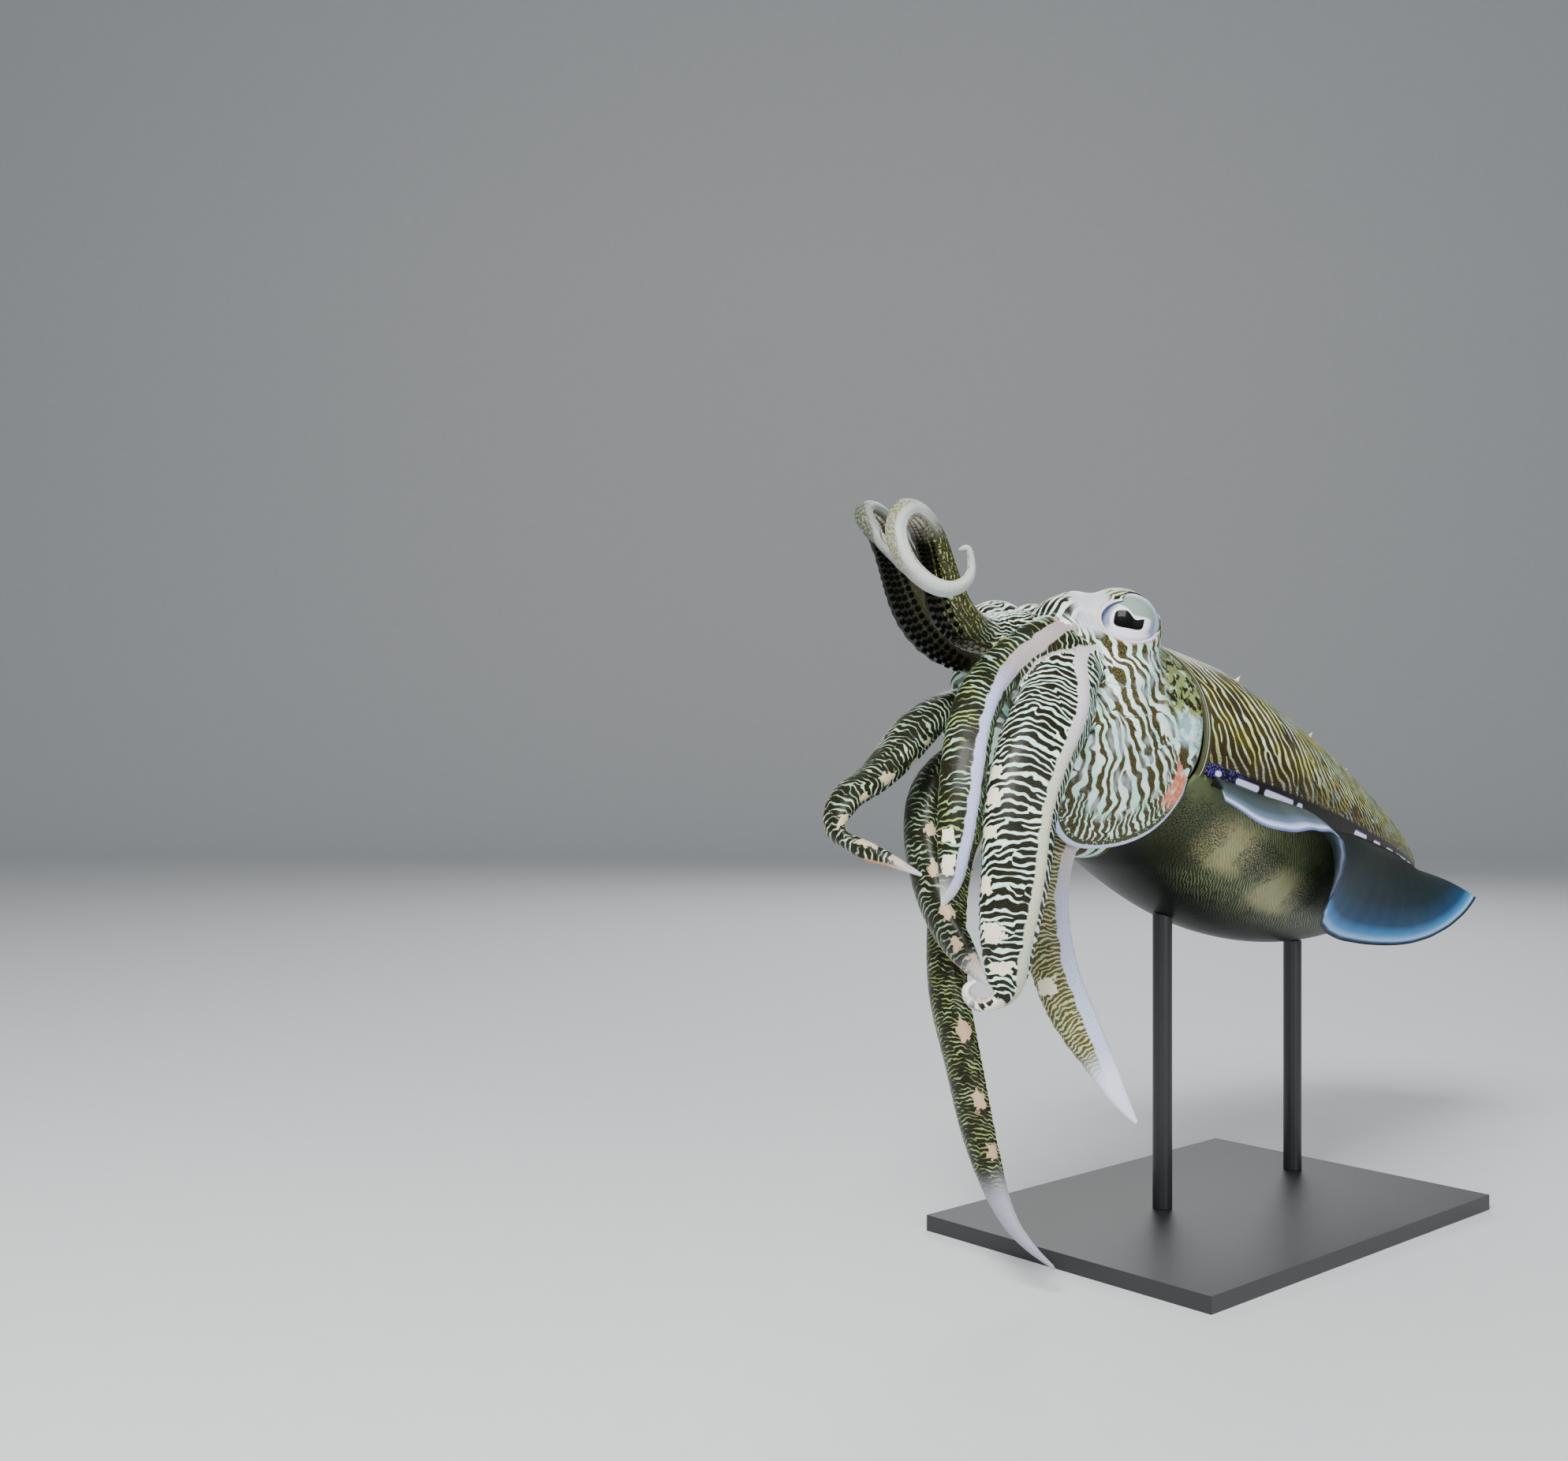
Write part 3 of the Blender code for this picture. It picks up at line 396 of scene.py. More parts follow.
def relax_creases(obj: bpy.types.Object, reach: float, rounds: int) -> None:
    """Softens the creases where surfaces were joined.

    Each round moves a point towards the mean of its neighbours by its weight, which falls
    smoothly from one at a crease to nothing at reach. The nearness is found by passing the
    distance along edges.

    Args:
        obj: the joined object.
        reach: distance in metres at which the softening ends.
        rounds: number of passes.
    """
    mesh = obj.data
    points = read_points(mesh)
    pairs, seams = seam_edges(mesh)
    away = np.full(len(points), 1.0)
    away[seams.ravel()] = 0
    lengths = np.linalg.norm(points[pairs[:, 0]] - points[pairs[:, 1]], axis=1)
    for _ in range(40):
        np.minimum.at(away, pairs[:, 0], away[pairs[:, 1]] + lengths)
        np.minimum.at(away, pairs[:, 1], away[pairs[:, 0]] + lengths)
    weight = (1 - smooth(away, 0, reach))[:, None] * 0.6
    count = np.bincount(pairs.ravel(), minlength=len(points))[:, None]
    for _ in range(rounds):
        mean = np.zeros_like(points)
        for axis in range(3):
            mean[:, axis] = np.bincount(pairs[:, 0], points[pairs[:, 1], axis], len(points))
            mean[:, axis] += np.bincount(pairs[:, 1], points[pairs[:, 0], axis], len(points))
        points += weight * (mean / np.maximum(count, 1) - points)
    mesh.vertices.foreach_set("co", points.astype(np.float32).ravel())
    mesh.update()


def clear_joins(mesh: bpy.types.Mesh) -> None:
    """Moves the points of joins away from the flap's rim, so that no border is painted there.

    Args:
        mesh: the joined mesh with the attribute rim.
    """
    store = mesh.attributes["rim"].data
    rim = np.zeros(len(mesh.vertices), np.float32)
    store.foreach_get("value", rim)
    rim[np.unique(seam_edges(mesh)[1])] = AWAY_FROM_RIM
    store.foreach_set("value", rim)


def linear(code: str) -> tuple:
    """An sRGB hex colour as linear red, green, blue and alpha."""
    values = [int(code[i:i + 2], 16) / 255 for i in (1, 3, 5)]
    return (*[v / 12.92 if v <= 0.04045 else ((v + 0.055) / 1.055) ** 2.4 for v in values], 1.0)


class Paint:
    """A material's node tree with one method that adds a node."""

    def __init__(self, name: str) -> None:
        """Starts an empty material called name.

        Args:
            name: the material's name.
        """
        self.material = bpy.data.materials.new(name)
        self.material.use_nodes = True
        self.tree = self.material.node_tree
        self.tree.nodes.clear()

    def add(self, kind: str, *inputs: Socket | float | tuple | str | None, out: int = 0, stops: tuple = (),
            named: dict | None = None, **settings: str | int | bool) -> Socket | None:
        """Adds a node and returns one of its outputs.

        Args:
            kind: the node's class without its first word.
            inputs: values or sockets for its inputs in order; None leaves one alone.
            out: number of the output to return.
            stops: places and colours of a colour ramp.
            named: values or sockets by input name.
            settings: the node's own settings.

        Returns:
            The chosen output socket.
        """
        node = self.tree.nodes.new("ShaderNode" + kind)
        for key, value in settings.items():
            setattr(node, key, value)
        pairs = list(zip(node.inputs, inputs))
        pairs += [(node.inputs[key], value) for key, value in (named or {}).items()]
        for socket, value in pairs:
            if isinstance(value, Socket):
                self.tree.links.new(value, socket)
            elif value is not None:
                socket.default_value = linear(value) if isinstance(value, str) else value
        if stops:
            elements = node.color_ramp.elements
            while len(elements) < len(stops):
                elements.new(1.0)
            for element, (place, colour) in zip(elements, stops):
                element.position = place
                element.color = linear(colour)
        return node.outputs[out] if node.outputs else None

    def finish(self, shader: Socket) -> bpy.types.Material:
        """Links the shader to the output and returns the material."""
        self.add("OutputMaterial", shader)
        return self.material


class Skin(Paint):
    """Moist mollusc skin: patterns that several finishes share."""

    def between(self, value: Socket, start: float, end: float) -> Socket:
        """Smooth step from 0 at start to 1 at end; it falls where end lies below start."""
        return self.add("MapRange", value, start, end, 0.0, 1.0, interpolation_type="SMOOTHSTEP")

    def all_of(self, *masks: Socket | float) -> Socket:
        """Product of masks.

        Args:
            masks: sockets or numbers, at least two.

        Returns:
            The product's socket.
        """
        result = masks[0]
        for mask in masks[1:]:
            result = self.add("Math", result, mask, operation="MULTIPLY")
        return result

    def layers(self, colour: Socket | str, *pairs: tuple) -> Socket:
        """Lays colours over a first one, each with its mask.

        Args:
            colour: socket or hex code of the ground.
            pairs: mask and colour pairs in order.

        Returns:
            The mixed colour's socket.
        """
        for mask, over in pairs:
            colour = self.add("MixRGB", mask, colour, over)
        return colour

    def stripes(self, uv: Socket, period: float, angle: Socket | float, wobble: float, dark_share: float,
                seed: float) -> Socket:
        """Forking stripes: the phase of oriented noise, cut to pale and dark.

        Args:
            uv: place on the skin in metres.
            period: distance from stripe to stripe in metres.
            angle: direction across the stripes, a number or a socket.
            wobble: sideways wander in metres.
            dark_share: how much of each period is dark, 0 to 1.
            seed: offset that gives each piece its own pattern.

        Returns:
            A socket that is 1 on the pale stripes.
        """
        moved = self.add("VectorMath", uv, (seed, seed * 0.7, 0), operation="ADD")
        drift = self.add("TexNoise", out=1, named={
            "Vector": moved, "Scale": 0.32 / period, "Detail": 2.0, "Roughness": 0.55})
        drift = self.add("VectorMath", drift, (0.5, 0.5, 0.5), operation="SUBTRACT")
        swell = self.add("Math", self.add("SeparateXYZ", drift, out=2), 2.4, operation="MULTIPLY")
        drift = self.add("VectorMath", drift, (wobble,) * 3, operation="MULTIPLY")
        placed = self.add("VectorMath", moved, drift, operation="ADD")
        waves, soft = 2.8, 0.25
        phase = self.add("TexGabor", out=1, named={
            "Vector": placed, "Scale": 1 / (waves * period), "Frequency": waves, "Anisotropy": 0.94,
            "Orientation 2D": angle})
        wave = self.add("Math", self.all_of(phase, 2 * math.pi), operation="COSINE")
        wave = self.add("Math", wave, swell, operation="ADD")
        cut = math.cos(math.pi * (1 - dark_share))
        return self.between(wave, cut - soft, cut + soft)

    def spots(self, place: Socket, marks: Socket, table: tuple, ragged: float = 1.2,
              soft: float = 0.12) -> Socket:
        """Mask of patches at given places, with wandering edges.

        Args:
            place: UV map whose two values the table uses.
            marks: place on the skin in metres.
            table: both values at the middle and both half sizes for each patch.
            ragged: wander of the edge as a share of the half sizes.
            soft: softness of the edge in the same measure.

        Returns:
            A socket that is 1 on the patches.
        """
        wander = self.add("TexNoise", out=1, named={"Vector": marks, "Scale": 320.0, "Detail": 3.0})
        wander = self.add("VectorMath", wander, (2 * ragged, 2 * ragged, 0), (-ragged, -ragged, 0),
                          operation="MULTIPLY_ADD")
        mask = 0.0
        for turn, share, wide, long in table:
            off = self.add("VectorMath", place, (turn, share, 0), operation="SUBTRACT")
            off = self.add("VectorMath", off, (1 / wide, 1 / long, 0), operation="MULTIPLY")
            off = self.add("VectorMath", off, wander, operation="ADD")
            square = self.add("VectorMath", off, off, operation="MULTIPLY")
            reach = self.add("VectorMath", square, out=1, operation="LENGTH")
            patch = self.between(reach, 1.08 + soft, 1.08 - soft)
            mask = self.add("Math", mask, patch, operation="MAXIMUM")
        return mask

    def speckle(self, uv: Socket, size: float, low: float, high: float, seed: float = 0.0) -> Socket:
        """Grain of pigment cells about size metres across, cut between low and high.

        Args:
            uv: place on the skin in metres.
            size: width of a grain in metres.
            low: noise at which it starts to show.
            high: noise from which it is full.
            seed: offset of the pattern.

        Returns:
            A socket that is 1 on the grains.
        """
        moved = self.add("VectorMath", uv, (seed, seed, 0), operation="ADD")
        grain = self.add("TexNoise", named={
            "Vector": moved, "Scale": 1 / size, "Detail": 2.0, "Roughness": 0.6})
        return self.between(grain, low, high)

    def wet(self, colour: Socket, uv: Socket, bump: float = 0.25, rough: float = 0.46, coat: float = 0.12,
            level: float = 0.36) -> Socket:
        """The shader of moist skin with fine wrinkles and a thin clear slime.

        Args:
            colour: socket of the colour.
            uv: place on the skin in metres.
            bump: strength of the wrinkles.
            rough: roughness of the skin.
            coat: weight of the clear coat.
            level: strength of the skin's own reflection.

        Returns:
            The shader's socket.
        """
        fine = self.add("TexNoise", named={"Vector": uv, "Scale": 1100.0, "Detail": 4.0, "Roughness": 0.6})
        folds = self.add("TexNoise", named={"Vector": uv, "Scale": 220.0, "Detail": 3.0, "Distortion": 0.6})
        height = self.add("Math", fine, 0.4, folds, operation="MULTIPLY_ADD")
        normal = self.add("Bump", named={"Height": height, "Strength": bump, "Distance": 0.0006})
        return self.add("BsdfPrincipled", named={
            "Base Color": colour, "Roughness": rough, "IOR": WATER_IOR, "Specular IOR Level": level,
            "Normal": normal, "Subsurface Weight": 0.10, "Subsurface Radius": (0.003, 0.0015, 0.001),
            "Subsurface Scale": 0.4, "Coat Weight": coat, "Coat Roughness": 0.2, "Coat IOR": WATER_IOR})


@dataclass(frozen=True)
class ArmFinish:
    """Skin of one arm: sRGB colours, sizes in millimetres, places as angles round the arm.

    keel is the angle of the pale ribbon at the base, at a quarter of the length and from the
    middle on, and keel_half its half widths. patches are turns, shares and half sizes. Past
    column the arm takes the colours of a raised arm and past tip_from those of the tip.
    """

    pale: str = "#C4F0DC"
    pale_two: str = "#E6F7EA"
    dark: str = "#070804"
    dark_two: str = "#2E2C12"
    period: float = 2.9
    dark_share: float = 0.64
    across: float = math.pi / 2
    slant: float = 0.45
    keel: tuple = (-0.6, -0.6, -0.9)
    keel_half: tuple = (3.4, 2.0)
    keel_colour: str = "#B7B4CC"
    keel_top: str = "#CDBDB0"
    keel_ends: tuple = (1.0, 1.2)
    patch: str = "#F4EFD0"
    patches: tuple = ()
    oral: str = "#CFC8B8"
    column: tuple = (2.0, 2.2)
    column_pale: str = "#B9C28A"
    column_dark: str = "#0A0B05"
    tip: str = "#D3D6DC"
    tip_two: str = "#8A8360"
    tip_from: tuple = (0.9, 1.0)
    cup: str = "#DDD6C6"
    seed: float = 0.0

    def ribbon(self, skin: Skin, angle: Socket, share: Socket, marks: Socket) -> tuple:
        """Mask and colour of the pale ribbon along the keel.

        Args:
            skin: the material that is being built.
            angle: angle round the arm.
            share: share of the arm's length.
            marks: place on the skin in metres.

        Returns:
            The mask's socket and the colour's socket.
        """
        where = skin.between(share, 0.28, 0.52)
        way = skin.add("Mix", skin.between(share, 0.06, 0.28), None, self.keel[0], self.keel[1])
        way = skin.add("Mix", where, None, way, self.keel[2])
        half = skin.add("Mix", where, None, self.keel_half[0] * MM, self.keel_half[1] * MM)
        wide = skin.add("Attribute", out=2, attribute_name="wide")
        off = skin.add("Math", skin.add("Math", angle, way, operation="SUBTRACT"), operation="ABSOLUTE")
        wander = skin.add("TexNoise", named={"Vector": marks, "Scale": 180.0, "Detail": 3.0})
        wander = skin.add("Math", wander, -0.003, 0.0015, operation="MULTIPLY_ADD")
        off = skin.add("Math", skin.all_of(off, wide), 1.0, wander, operation="MULTIPLY_ADD")
        edge = skin.add("Math", off, half, operation="SUBTRACT")
        mask = skin.all_of(skin.between(edge, 0.0004, -0.0003), skin.between(share, *self.keel_ends[::-1]))
        tone = skin.add("MixRGB", where, self.keel_top, self.keel_colour)
        grain = skin.all_of(skin.speckle(marks, 0.7 * MM, 0.5, 0.72, 3.1), 0.55)
        return mask, skin.add("MixRGB", grain, tone, "#6E6470")

    def keel_at(self, share: np.ndarray) -> np.ndarray:
        """Angle of the keel at shares of the length, the same as the ribbon's."""
        way = self.keel[0] + (self.keel[1] - self.keel[0]) * smooth(share, 0.06, 0.28)
        return way + (self.keel[2] - way) * smooth(share, 0.28, 0.52)

    def material(self, name: str) -> bpy.types.Material:
        """Builds the arm's material.

        The UV map marks gives metres round and along the arm, and place gives the turn round it,
        with the outer face at one half, and the share of its length.

        Args:
            name: the material's name.

        Returns:
            The material.
        """
        skin = Skin(name)
        marks = skin.add("UVMap", uv_map="marks")
        place = skin.add("UVMap", uv_map="place")
        share = skin.add("SeparateXYZ", place, out=1)
        turn = skin.add("Math", skin.add("SeparateXYZ", place), 0.5, operation="SUBTRACT")
        angle = skin.add("Math", turn, 2 * math.pi, operation="MULTIPLY")
        side = skin.add("Math", angle, operation="SINE")
        under = skin.add("Math", angle, operation="COSINE")
        slanted = skin.add("Math", side, self.slant, self.across, operation="MULTIPLY_ADD")
        period = self.period * MM
        bands = skin.stripes(marks, period, slanted, period * 2.4, self.dark_share, self.seed)
        pale = skin.add("MixRGB", skin.speckle(marks, 9 * MM, 0.42, 0.6, self.seed), self.pale, self.pale_two)
        grain = skin.speckle(marks, 0.5 * MM, 0.42, 0.66, 1.3)
        dark = skin.add("MixRGB", grain, self.dark, self.dark_two)
        colour = skin.add("MixRGB", bands, dark, pale)
        breaks = skin.speckle(marks, 1.6 * MM, 0.47, 0.55, 2.1)
        lit = skin.between(side, 0.1, -0.4)
        shade = skin.add("MixRGB", skin.all_of(grain, lit), self.column_dark, "#4A4A26")
        dashes = skin.add("MixRGB", skin.all_of(bands, breaks, lit), shade, self.column_pale)
        column = skin.between(share, *self.column)
        patch = skin.add("MixRGB", skin.all_of(grain, 0.3), self.patch, "#A08C6A")
        border = skin.between(skin.add("Math", side, operation="ABSOLUTE"), 0.62, 0.94)
        pale_tip = skin.add("Math", border, skin.between(share, 0.74, 0.86), operation="MAXIMUM")
        fleck = skin.all_of(skin.speckle(marks, 1.1 * MM, 0.42, 0.6, 6.3), 0.6)
        tip = skin.layers(self.tip_two, (fleck, self.tip), (pale_tip, self.tip),
                          (skin.all_of(grain, 0.4), self.tip_two))
        colour = skin.layers(
            colour, (skin.spots(place, marks, self.patches), patch), self.ribbon(skin, angle, share, marks),
            (skin.between(under, -0.5, -0.75), self.oral), (column, dashes),
            (skin.between(share, *self.tip_from), tip))
        return skin.finish(skin.wet(colour, marks))


@dataclass(frozen=True)
class HeadFinish:
    """Skin of the head, cheeks and flaps: sRGB colours and sizes in millimetres."""

    pale: str = "#BDF6E4"
    pale_two: str = "#EEFFFA"
    dark: str = "#14120A"
    dark_two: str = "#685C2E"
    period: float = 4.0

    def stripes(self, skin: Skin, marks: Socket, side: Socket, rim: Socket) -> Socket:
        """Stripes of the cheek, finer towards the flap's border, with their grain and clouds.

        Args:
            skin: the material that is being built.
            marks: place on the skin in metres.
            side: metres ahead and up.
            rim: distance to the flap's border in metres.

        Returns:
            The colour's socket.
        """
        period = self.period * MM
        coarse = skin.stripes(marks, period, math.pi / 2, period * 2.4, 0.52, 0.3)
        fine = skin.stripes(marks, period * 0.5, math.pi / 2, period * 1.2, 0.64, 1.9)
        bands = skin.add("MixRGB", skin.between(rim, 0.020, 0.011), coarse, fine)
        pale = skin.add("MixRGB", skin.speckle(side, 9 * MM, 0.42, 0.6), self.pale, self.pale_two)
        grain = skin.speckle(side, 0.5 * MM, 0.42, 0.62, 1.3)
        dark = skin.add("MixRGB", grain, self.dark, self.dark_two)
        veil = skin.all_of(skin.speckle(side, 15 * MM, 0.52, 0.68, 7.0), 0.5, skin.between(rim, 0.014, 0.02))
        return skin.layers(skin.add("MixRGB", bands, dark, pale), (veil, "#CBDDE0"))

    def behind(self, skin: Skin, side: Socket, ahead: Socket, up: Socket) -> tuple:
        """Layers of the skin behind the eye: yellow-green mottle and a bluish cloud below it.

        Args:
            skin: the material that is being built.
            side: metres ahead and up.
            ahead: metres ahead of the mantle's rim.
            up: metres above the same centre.

        Returns:
            Pairs of mask and colour.
        """
        spots = skin.speckle(side, 4.5 * MM, 0.44, 0.52, 3.0)
        mottle = skin.layers("#1F1C0C", (spots, "#87935A"),
                             (skin.speckle(side, 7 * MM, 0.55, 0.65, 5.0), "#BDE3CE"))
        cloud = skin.layers("#8FB0B4", (skin.speckle(side, 5 * MM, 0.42, 0.6, 9.0), "#C9E6DE"))
        return ((skin.all_of(skin.between(ahead, 0.034, 0.022), skin.between(up, 0.003, 0.010)), mottle),
                (skin.all_of(skin.between(ahead, 0.022, 0.015), skin.between(up, -0.010, -0.004),
                             skin.between(up, 0.009, 0.004)), cloud))

    def round_eye(self, skin: Skin, side: Socket, place: Socket) -> tuple:
        """Layers round the eye: pale skin ahead, an olive crown, a thin orange rim and a pale lid.

        The attributes eye, eye_ahead and eye_up are the distance from the nearer eye's centre and
        the places ahead and up as that eye is looked at.

        Args:
            skin: the material that is being built.
            side: metres ahead and up.
            place: metres ahead and to the left.

        Returns:
            Pairs of mask and colour.
        """
        eye, ahead, up = (skin.add("Attribute", out=2, attribute_name=name)
                          for name in ("eye", "eye_ahead", "eye_up"))
        pale = skin.layers("#C2C6D2", (skin.speckle(side, 6 * MM, 0.4, 0.6, 2.0), "#DADBDF"),
                           (skin.all_of(skin.speckle(side, 0.8 * MM, 0.5, 0.7, 4.0), 0.4), "#9C8A80"))
        crown = skin.layers("#4A4C28", (skin.stripes(place, 2.4 * MM, 1.2, 4 * MM, 0.5, 5.0), "#C3CFA4"))
        close = skin.between(eye, 0.0320, 0.0260)
        oval = skin.add("Math", skin.all_of(ahead, ahead, 1 / (LID_OPENING[0] * MM) ** 2),
                        skin.all_of(up, up, 1 / (LID_OPENING[1] * MM) ** 2), operation="ADD")
        oval = skin.add("Math", oval, operation="SQRT")
        front = skin.all_of(skin.between(ahead, 0.0095, 0.0125), skin.between(up, -0.012, -0.006), close)
        top = skin.all_of(skin.between(up, 0.0098, 0.0114), skin.between(ahead, 0.017, 0.010), close)
        behind = skin.all_of(skin.between(ahead, -0.0138, -0.0150), skin.between(up, -0.008, -0.002), close)
        warm = skin.all_of(skin.between(oval, 1.26, 1.12), skin.between(eye, 0.026, 0.022), skin.add(
            "Math", skin.between(ahead, 0.008, 0.011), skin.between(up, -0.004, -0.007), operation="MAXIMUM"))
        lid = skin.all_of(skin.between(oval, 1.22, 1.14), skin.between(eye, 0.026, 0.022))
        return ((front, pale), (top, crown), (behind, crown), (warm, "#D9A27C"),
                (skin.all_of(lid, skin.between(oval, 1.16, 1.08)), "#D5DAEC"))

    def border(self, skin: Skin, side: Socket, ahead: Socket, up: Socket, rim: Socket) -> tuple:
        """Layers at the flap's border: pale dots, the orange rear edge and the white line.

        Args:
            skin: the material that is being built.
            side: metres ahead and up.
            ahead: metres ahead of the mantle's rim.
            up: metres above the same centre.
            rim: distance to the flap's border in metres.

        Returns:
            Pairs of mask and colour.
        """
        dots = skin.add("TexVoronoi", named={"Vector": side, "Scale": 1 / (1.3 * MM), "Randomness": 0.6})
        dotted = skin.add("MixRGB", skin.between(dots, 0.36, 0.24), "#3F4228", "#D3EBCB")
        flush = skin.layers("#DC7E5E", (skin.speckle(side, 2.4 * MM, 0.45, 0.6), "#EBA187"),
                            (skin.speckle(side, 5 * MM, 0.58, 0.64, 3.0), "#CFDAD2"))
        rear = skin.all_of(skin.between(ahead, 0.024, 0.016), skin.between(rim, 0.0125, 0.0095),
                           skin.between(up, -0.040, -0.032))
        return ((skin.between(rim, 0.0040, 0.0028), dotted), (rear, flush),
                (skin.between(rim, 0.0011, 0.0008), "#C5D0F2"))

    def material(self) -> bpy.types.Material:
        """Builds the material of the head and the flaps.

        The UV map marks gives metres out from the pole and round it, side metres ahead and up and
        place metres ahead and left in head axes. The attribute rim is the distance to the flap's
        border and eye that to the nearer eye's centre.

        Returns:
            The material.
        """
        skin = Skin("cheek_skin")
        marks = skin.add("UVMap", uv_map="marks")
        side = skin.add("UVMap", uv_map="side")
        place = skin.add("UVMap", uv_map="place")
        ahead = skin.add("SeparateXYZ", side)
        up = skin.add("SeparateXYZ", side, out=1)
        rim = skin.add("Attribute", out=2, attribute_name="rim")
        top = skin.layers(self.dark, (skin.stripes(place, 3.2 * MM, 1.4, 7 * MM, 0.6, 8.0), "#D3EBD2"))
        colour = skin.layers(
            self.stripes(skin, marks, side, rim), *self.behind(skin, side, ahead, up),
            (skin.between(up, 0.034, 0.040), top), *self.round_eye(skin, side, place),
            *self.border(skin, side, ahead, up, rim))
        return skin.finish(skin.wet(colour, side))


@dataclass(frozen=True)
class MantleFinish:
    """Skin of the mantle: sRGB colours, sizes in millimetres, heights in turns from the left side.

    Clouds are shares of the length and heights, each with its half sizes. One turn is as long as
    turn_length on the skin by the fin's root.
    """

    ground: str = "#3C370B"
    ground_two: str = "#0E0C03"
    line: str = "#C9CF76"
    line_two: str = "#D6F0D6"
    blush: str = "#2E1B08"
    # belly colours: the skin's own dark green, darkened further as painted shade of the underside, most at the
    # bottom
    belly: str = "#525C3C"
    belly_low_tone_and_shade: str = "#0A120A"
    period: float = 5.6
    band: tuple = (-0.0200, -0.0020)
    turn_length: float = 385.0
    dark_clouds: tuple = (
        (0.06, -0.10, 0.06, 0.05), (0.23, -0.08, 0.06, 0.022), (0.42, -0.09, 0.05, 0.03))
    pale_clouds: tuple = ((0.14, -0.085, 0.06, 0.03), (0.34, -0.105, 0.07, 0.026))

    def back(self, skin: Skin, marks: Socket, share: Socket, height: Socket) -> Socket:
        """Colour of the back: pale forking lines on dark olive, with a blush above the fins.

        lean is one at the left fin's root, nothing on the middle of the back and minus one at the
        right fin's root; the lines run over the back and slope more towards the fins.

        Args:
            skin: the material that is being built.
            marks: metres back and round.
            share: share of the mantle's length.
            height: angle up from the left side in turns.

        Returns:
            The colour's socket.
        """
        period = self.period * MM
        lean = skin.add("Math", height, -4.0, 1.0, operation="MULTIPLY_ADD")
        lines = skin.stripes(marks, period, skin.all_of(lean, 0.55), period * 1.3, 0.70, 0.7)
        dense = skin.stripes(marks, period * 0.62, skin.all_of(lean, 1.05), period, 0.68, 1.7)
        lines = skin.add("MixRGB", skin.between(share, 0.18, 0.5), lines, dense)
        ground = skin.layers(self.ground_two, (skin.speckle(marks, 24 * MM, 0.42, 0.60), self.ground),
                             (skin.all_of(skin.speckle(marks, 0.5 * MM, 0.45, 0.66, 2.0), 0.4), "#8A7530"))
        pale = skin.add("MixRGB", skin.speckle(marks, 14 * MM, 0.42, 0.6, 3.0), self.line, self.line_two)
        low = skin.all_of(
            skin.between(height, 0.055, -0.004), skin.speckle(marks, 0.9 * MM, 0.3, 0.55, 4.0), 0.9)
        return skin.layers(ground, (lines, pale), (low, self.blush))

    def front(self, skin: Skin, marks: Socket, place: Socket, share: Socket, height: Socket) -> Socket:
        """Colour below the fins: smooth, with freckles and yellowish clouds, darker towards the bottom, partly
        its own dark green and partly painted shade.

        Args:
            skin: the material that is being built.
            marks: metres back and round.
            place: share and height in one UV map.
            share: share of the mantle's length.
            height: angle up from the left side in turns.

        Returns:
            The colour's socket.
        """
        # painted shade: the belly darkens towards the bottom over its own dark green, as the underside would in
        # shade
        ground = skin.add("MixRGB", skin.between(height, -0.185, -0.06), self.belly_low_tone_and_shade, self.belly)
        cloud = skin.spots(place, marks, self.dark_clouds, 0.5, 0.6)
        freckle = skin.all_of(skin.speckle(marks, 0.8 * MM, 0.44, 0.54, 5.0), cloud, 0.9)
        gold = skin.all_of(skin.spots(place, marks, self.pale_clouds, 0.3, 0.9), 0.5)
        lines = skin.all_of(skin.stripes(marks, 1.5 * MM, 0.9, 1.5 * MM, 0.66, 3.0),
                            skin.between(height, -0.19, -0.12), skin.between(share, 0.05, 0.15), 0.3)
        return skin.layers(ground, (gold, "#C6C08A"), (lines, "#D2D9B0"), (freckle, "#1C170B"))

    def hem(self, skin: Skin, marks: Socket, share: Socket, height: Socket) -> tuple:
        """Layers along the fin's root: a dark band with violet dots and white dashes.

        The attribute dash is the distance to the nearest dash's end in millimetres, below zero
        inside it. A dash is a bar 3 mm high with round ends.

        Args:
            skin: the material that is being built.
            marks: metres back and round.
            share: share of the mantle's length.
            height: angle up from the left side in turns.

        Returns:
            Pairs of mask and colour.
        """
        middle = sum(self.band) / 2
        dash = skin.add("Attribute", out=2, attribute_name="dash")
        off = skin.add("Math", height, middle, operation="SUBTRACT")
        off = skin.all_of(skin.add("Math", off, operation="ABSOLUTE"), self.turn_length)
        past = skin.add("Math", skin.add("Math", dash, 1.4, operation="ADD"), 0.0, operation="MAXIMUM")
        far = skin.add("Math", skin.all_of(past, past), skin.all_of(off, off), operation="ADD")
        far = skin.add("Math", far, operation="SQRT")
        band = skin.all_of(skin.between(height, self.band[0], self.band[0] + 0.001),
                           skin.between(height, self.band[1] + 0.003, self.band[1] - 0.001),
                           skin.between(share, 0.0, 0.004))
        dots = skin.add("TexVoronoi", named={"Vector": marks, "Scale": 1 / (1.0 * MM), "Randomness": 0.8})
        violet = skin.all_of(skin.between(dots, 0.42, 0.28), skin.between(share, 0.12, 0.05), band)
        return ((band, "#0E0805"), (violet, "#6552E4"), (skin.between(far, 1.9, 1.5), "#5E52B8"),
                (skin.between(far, 1.5, 1.2), "#EEF0FC"))

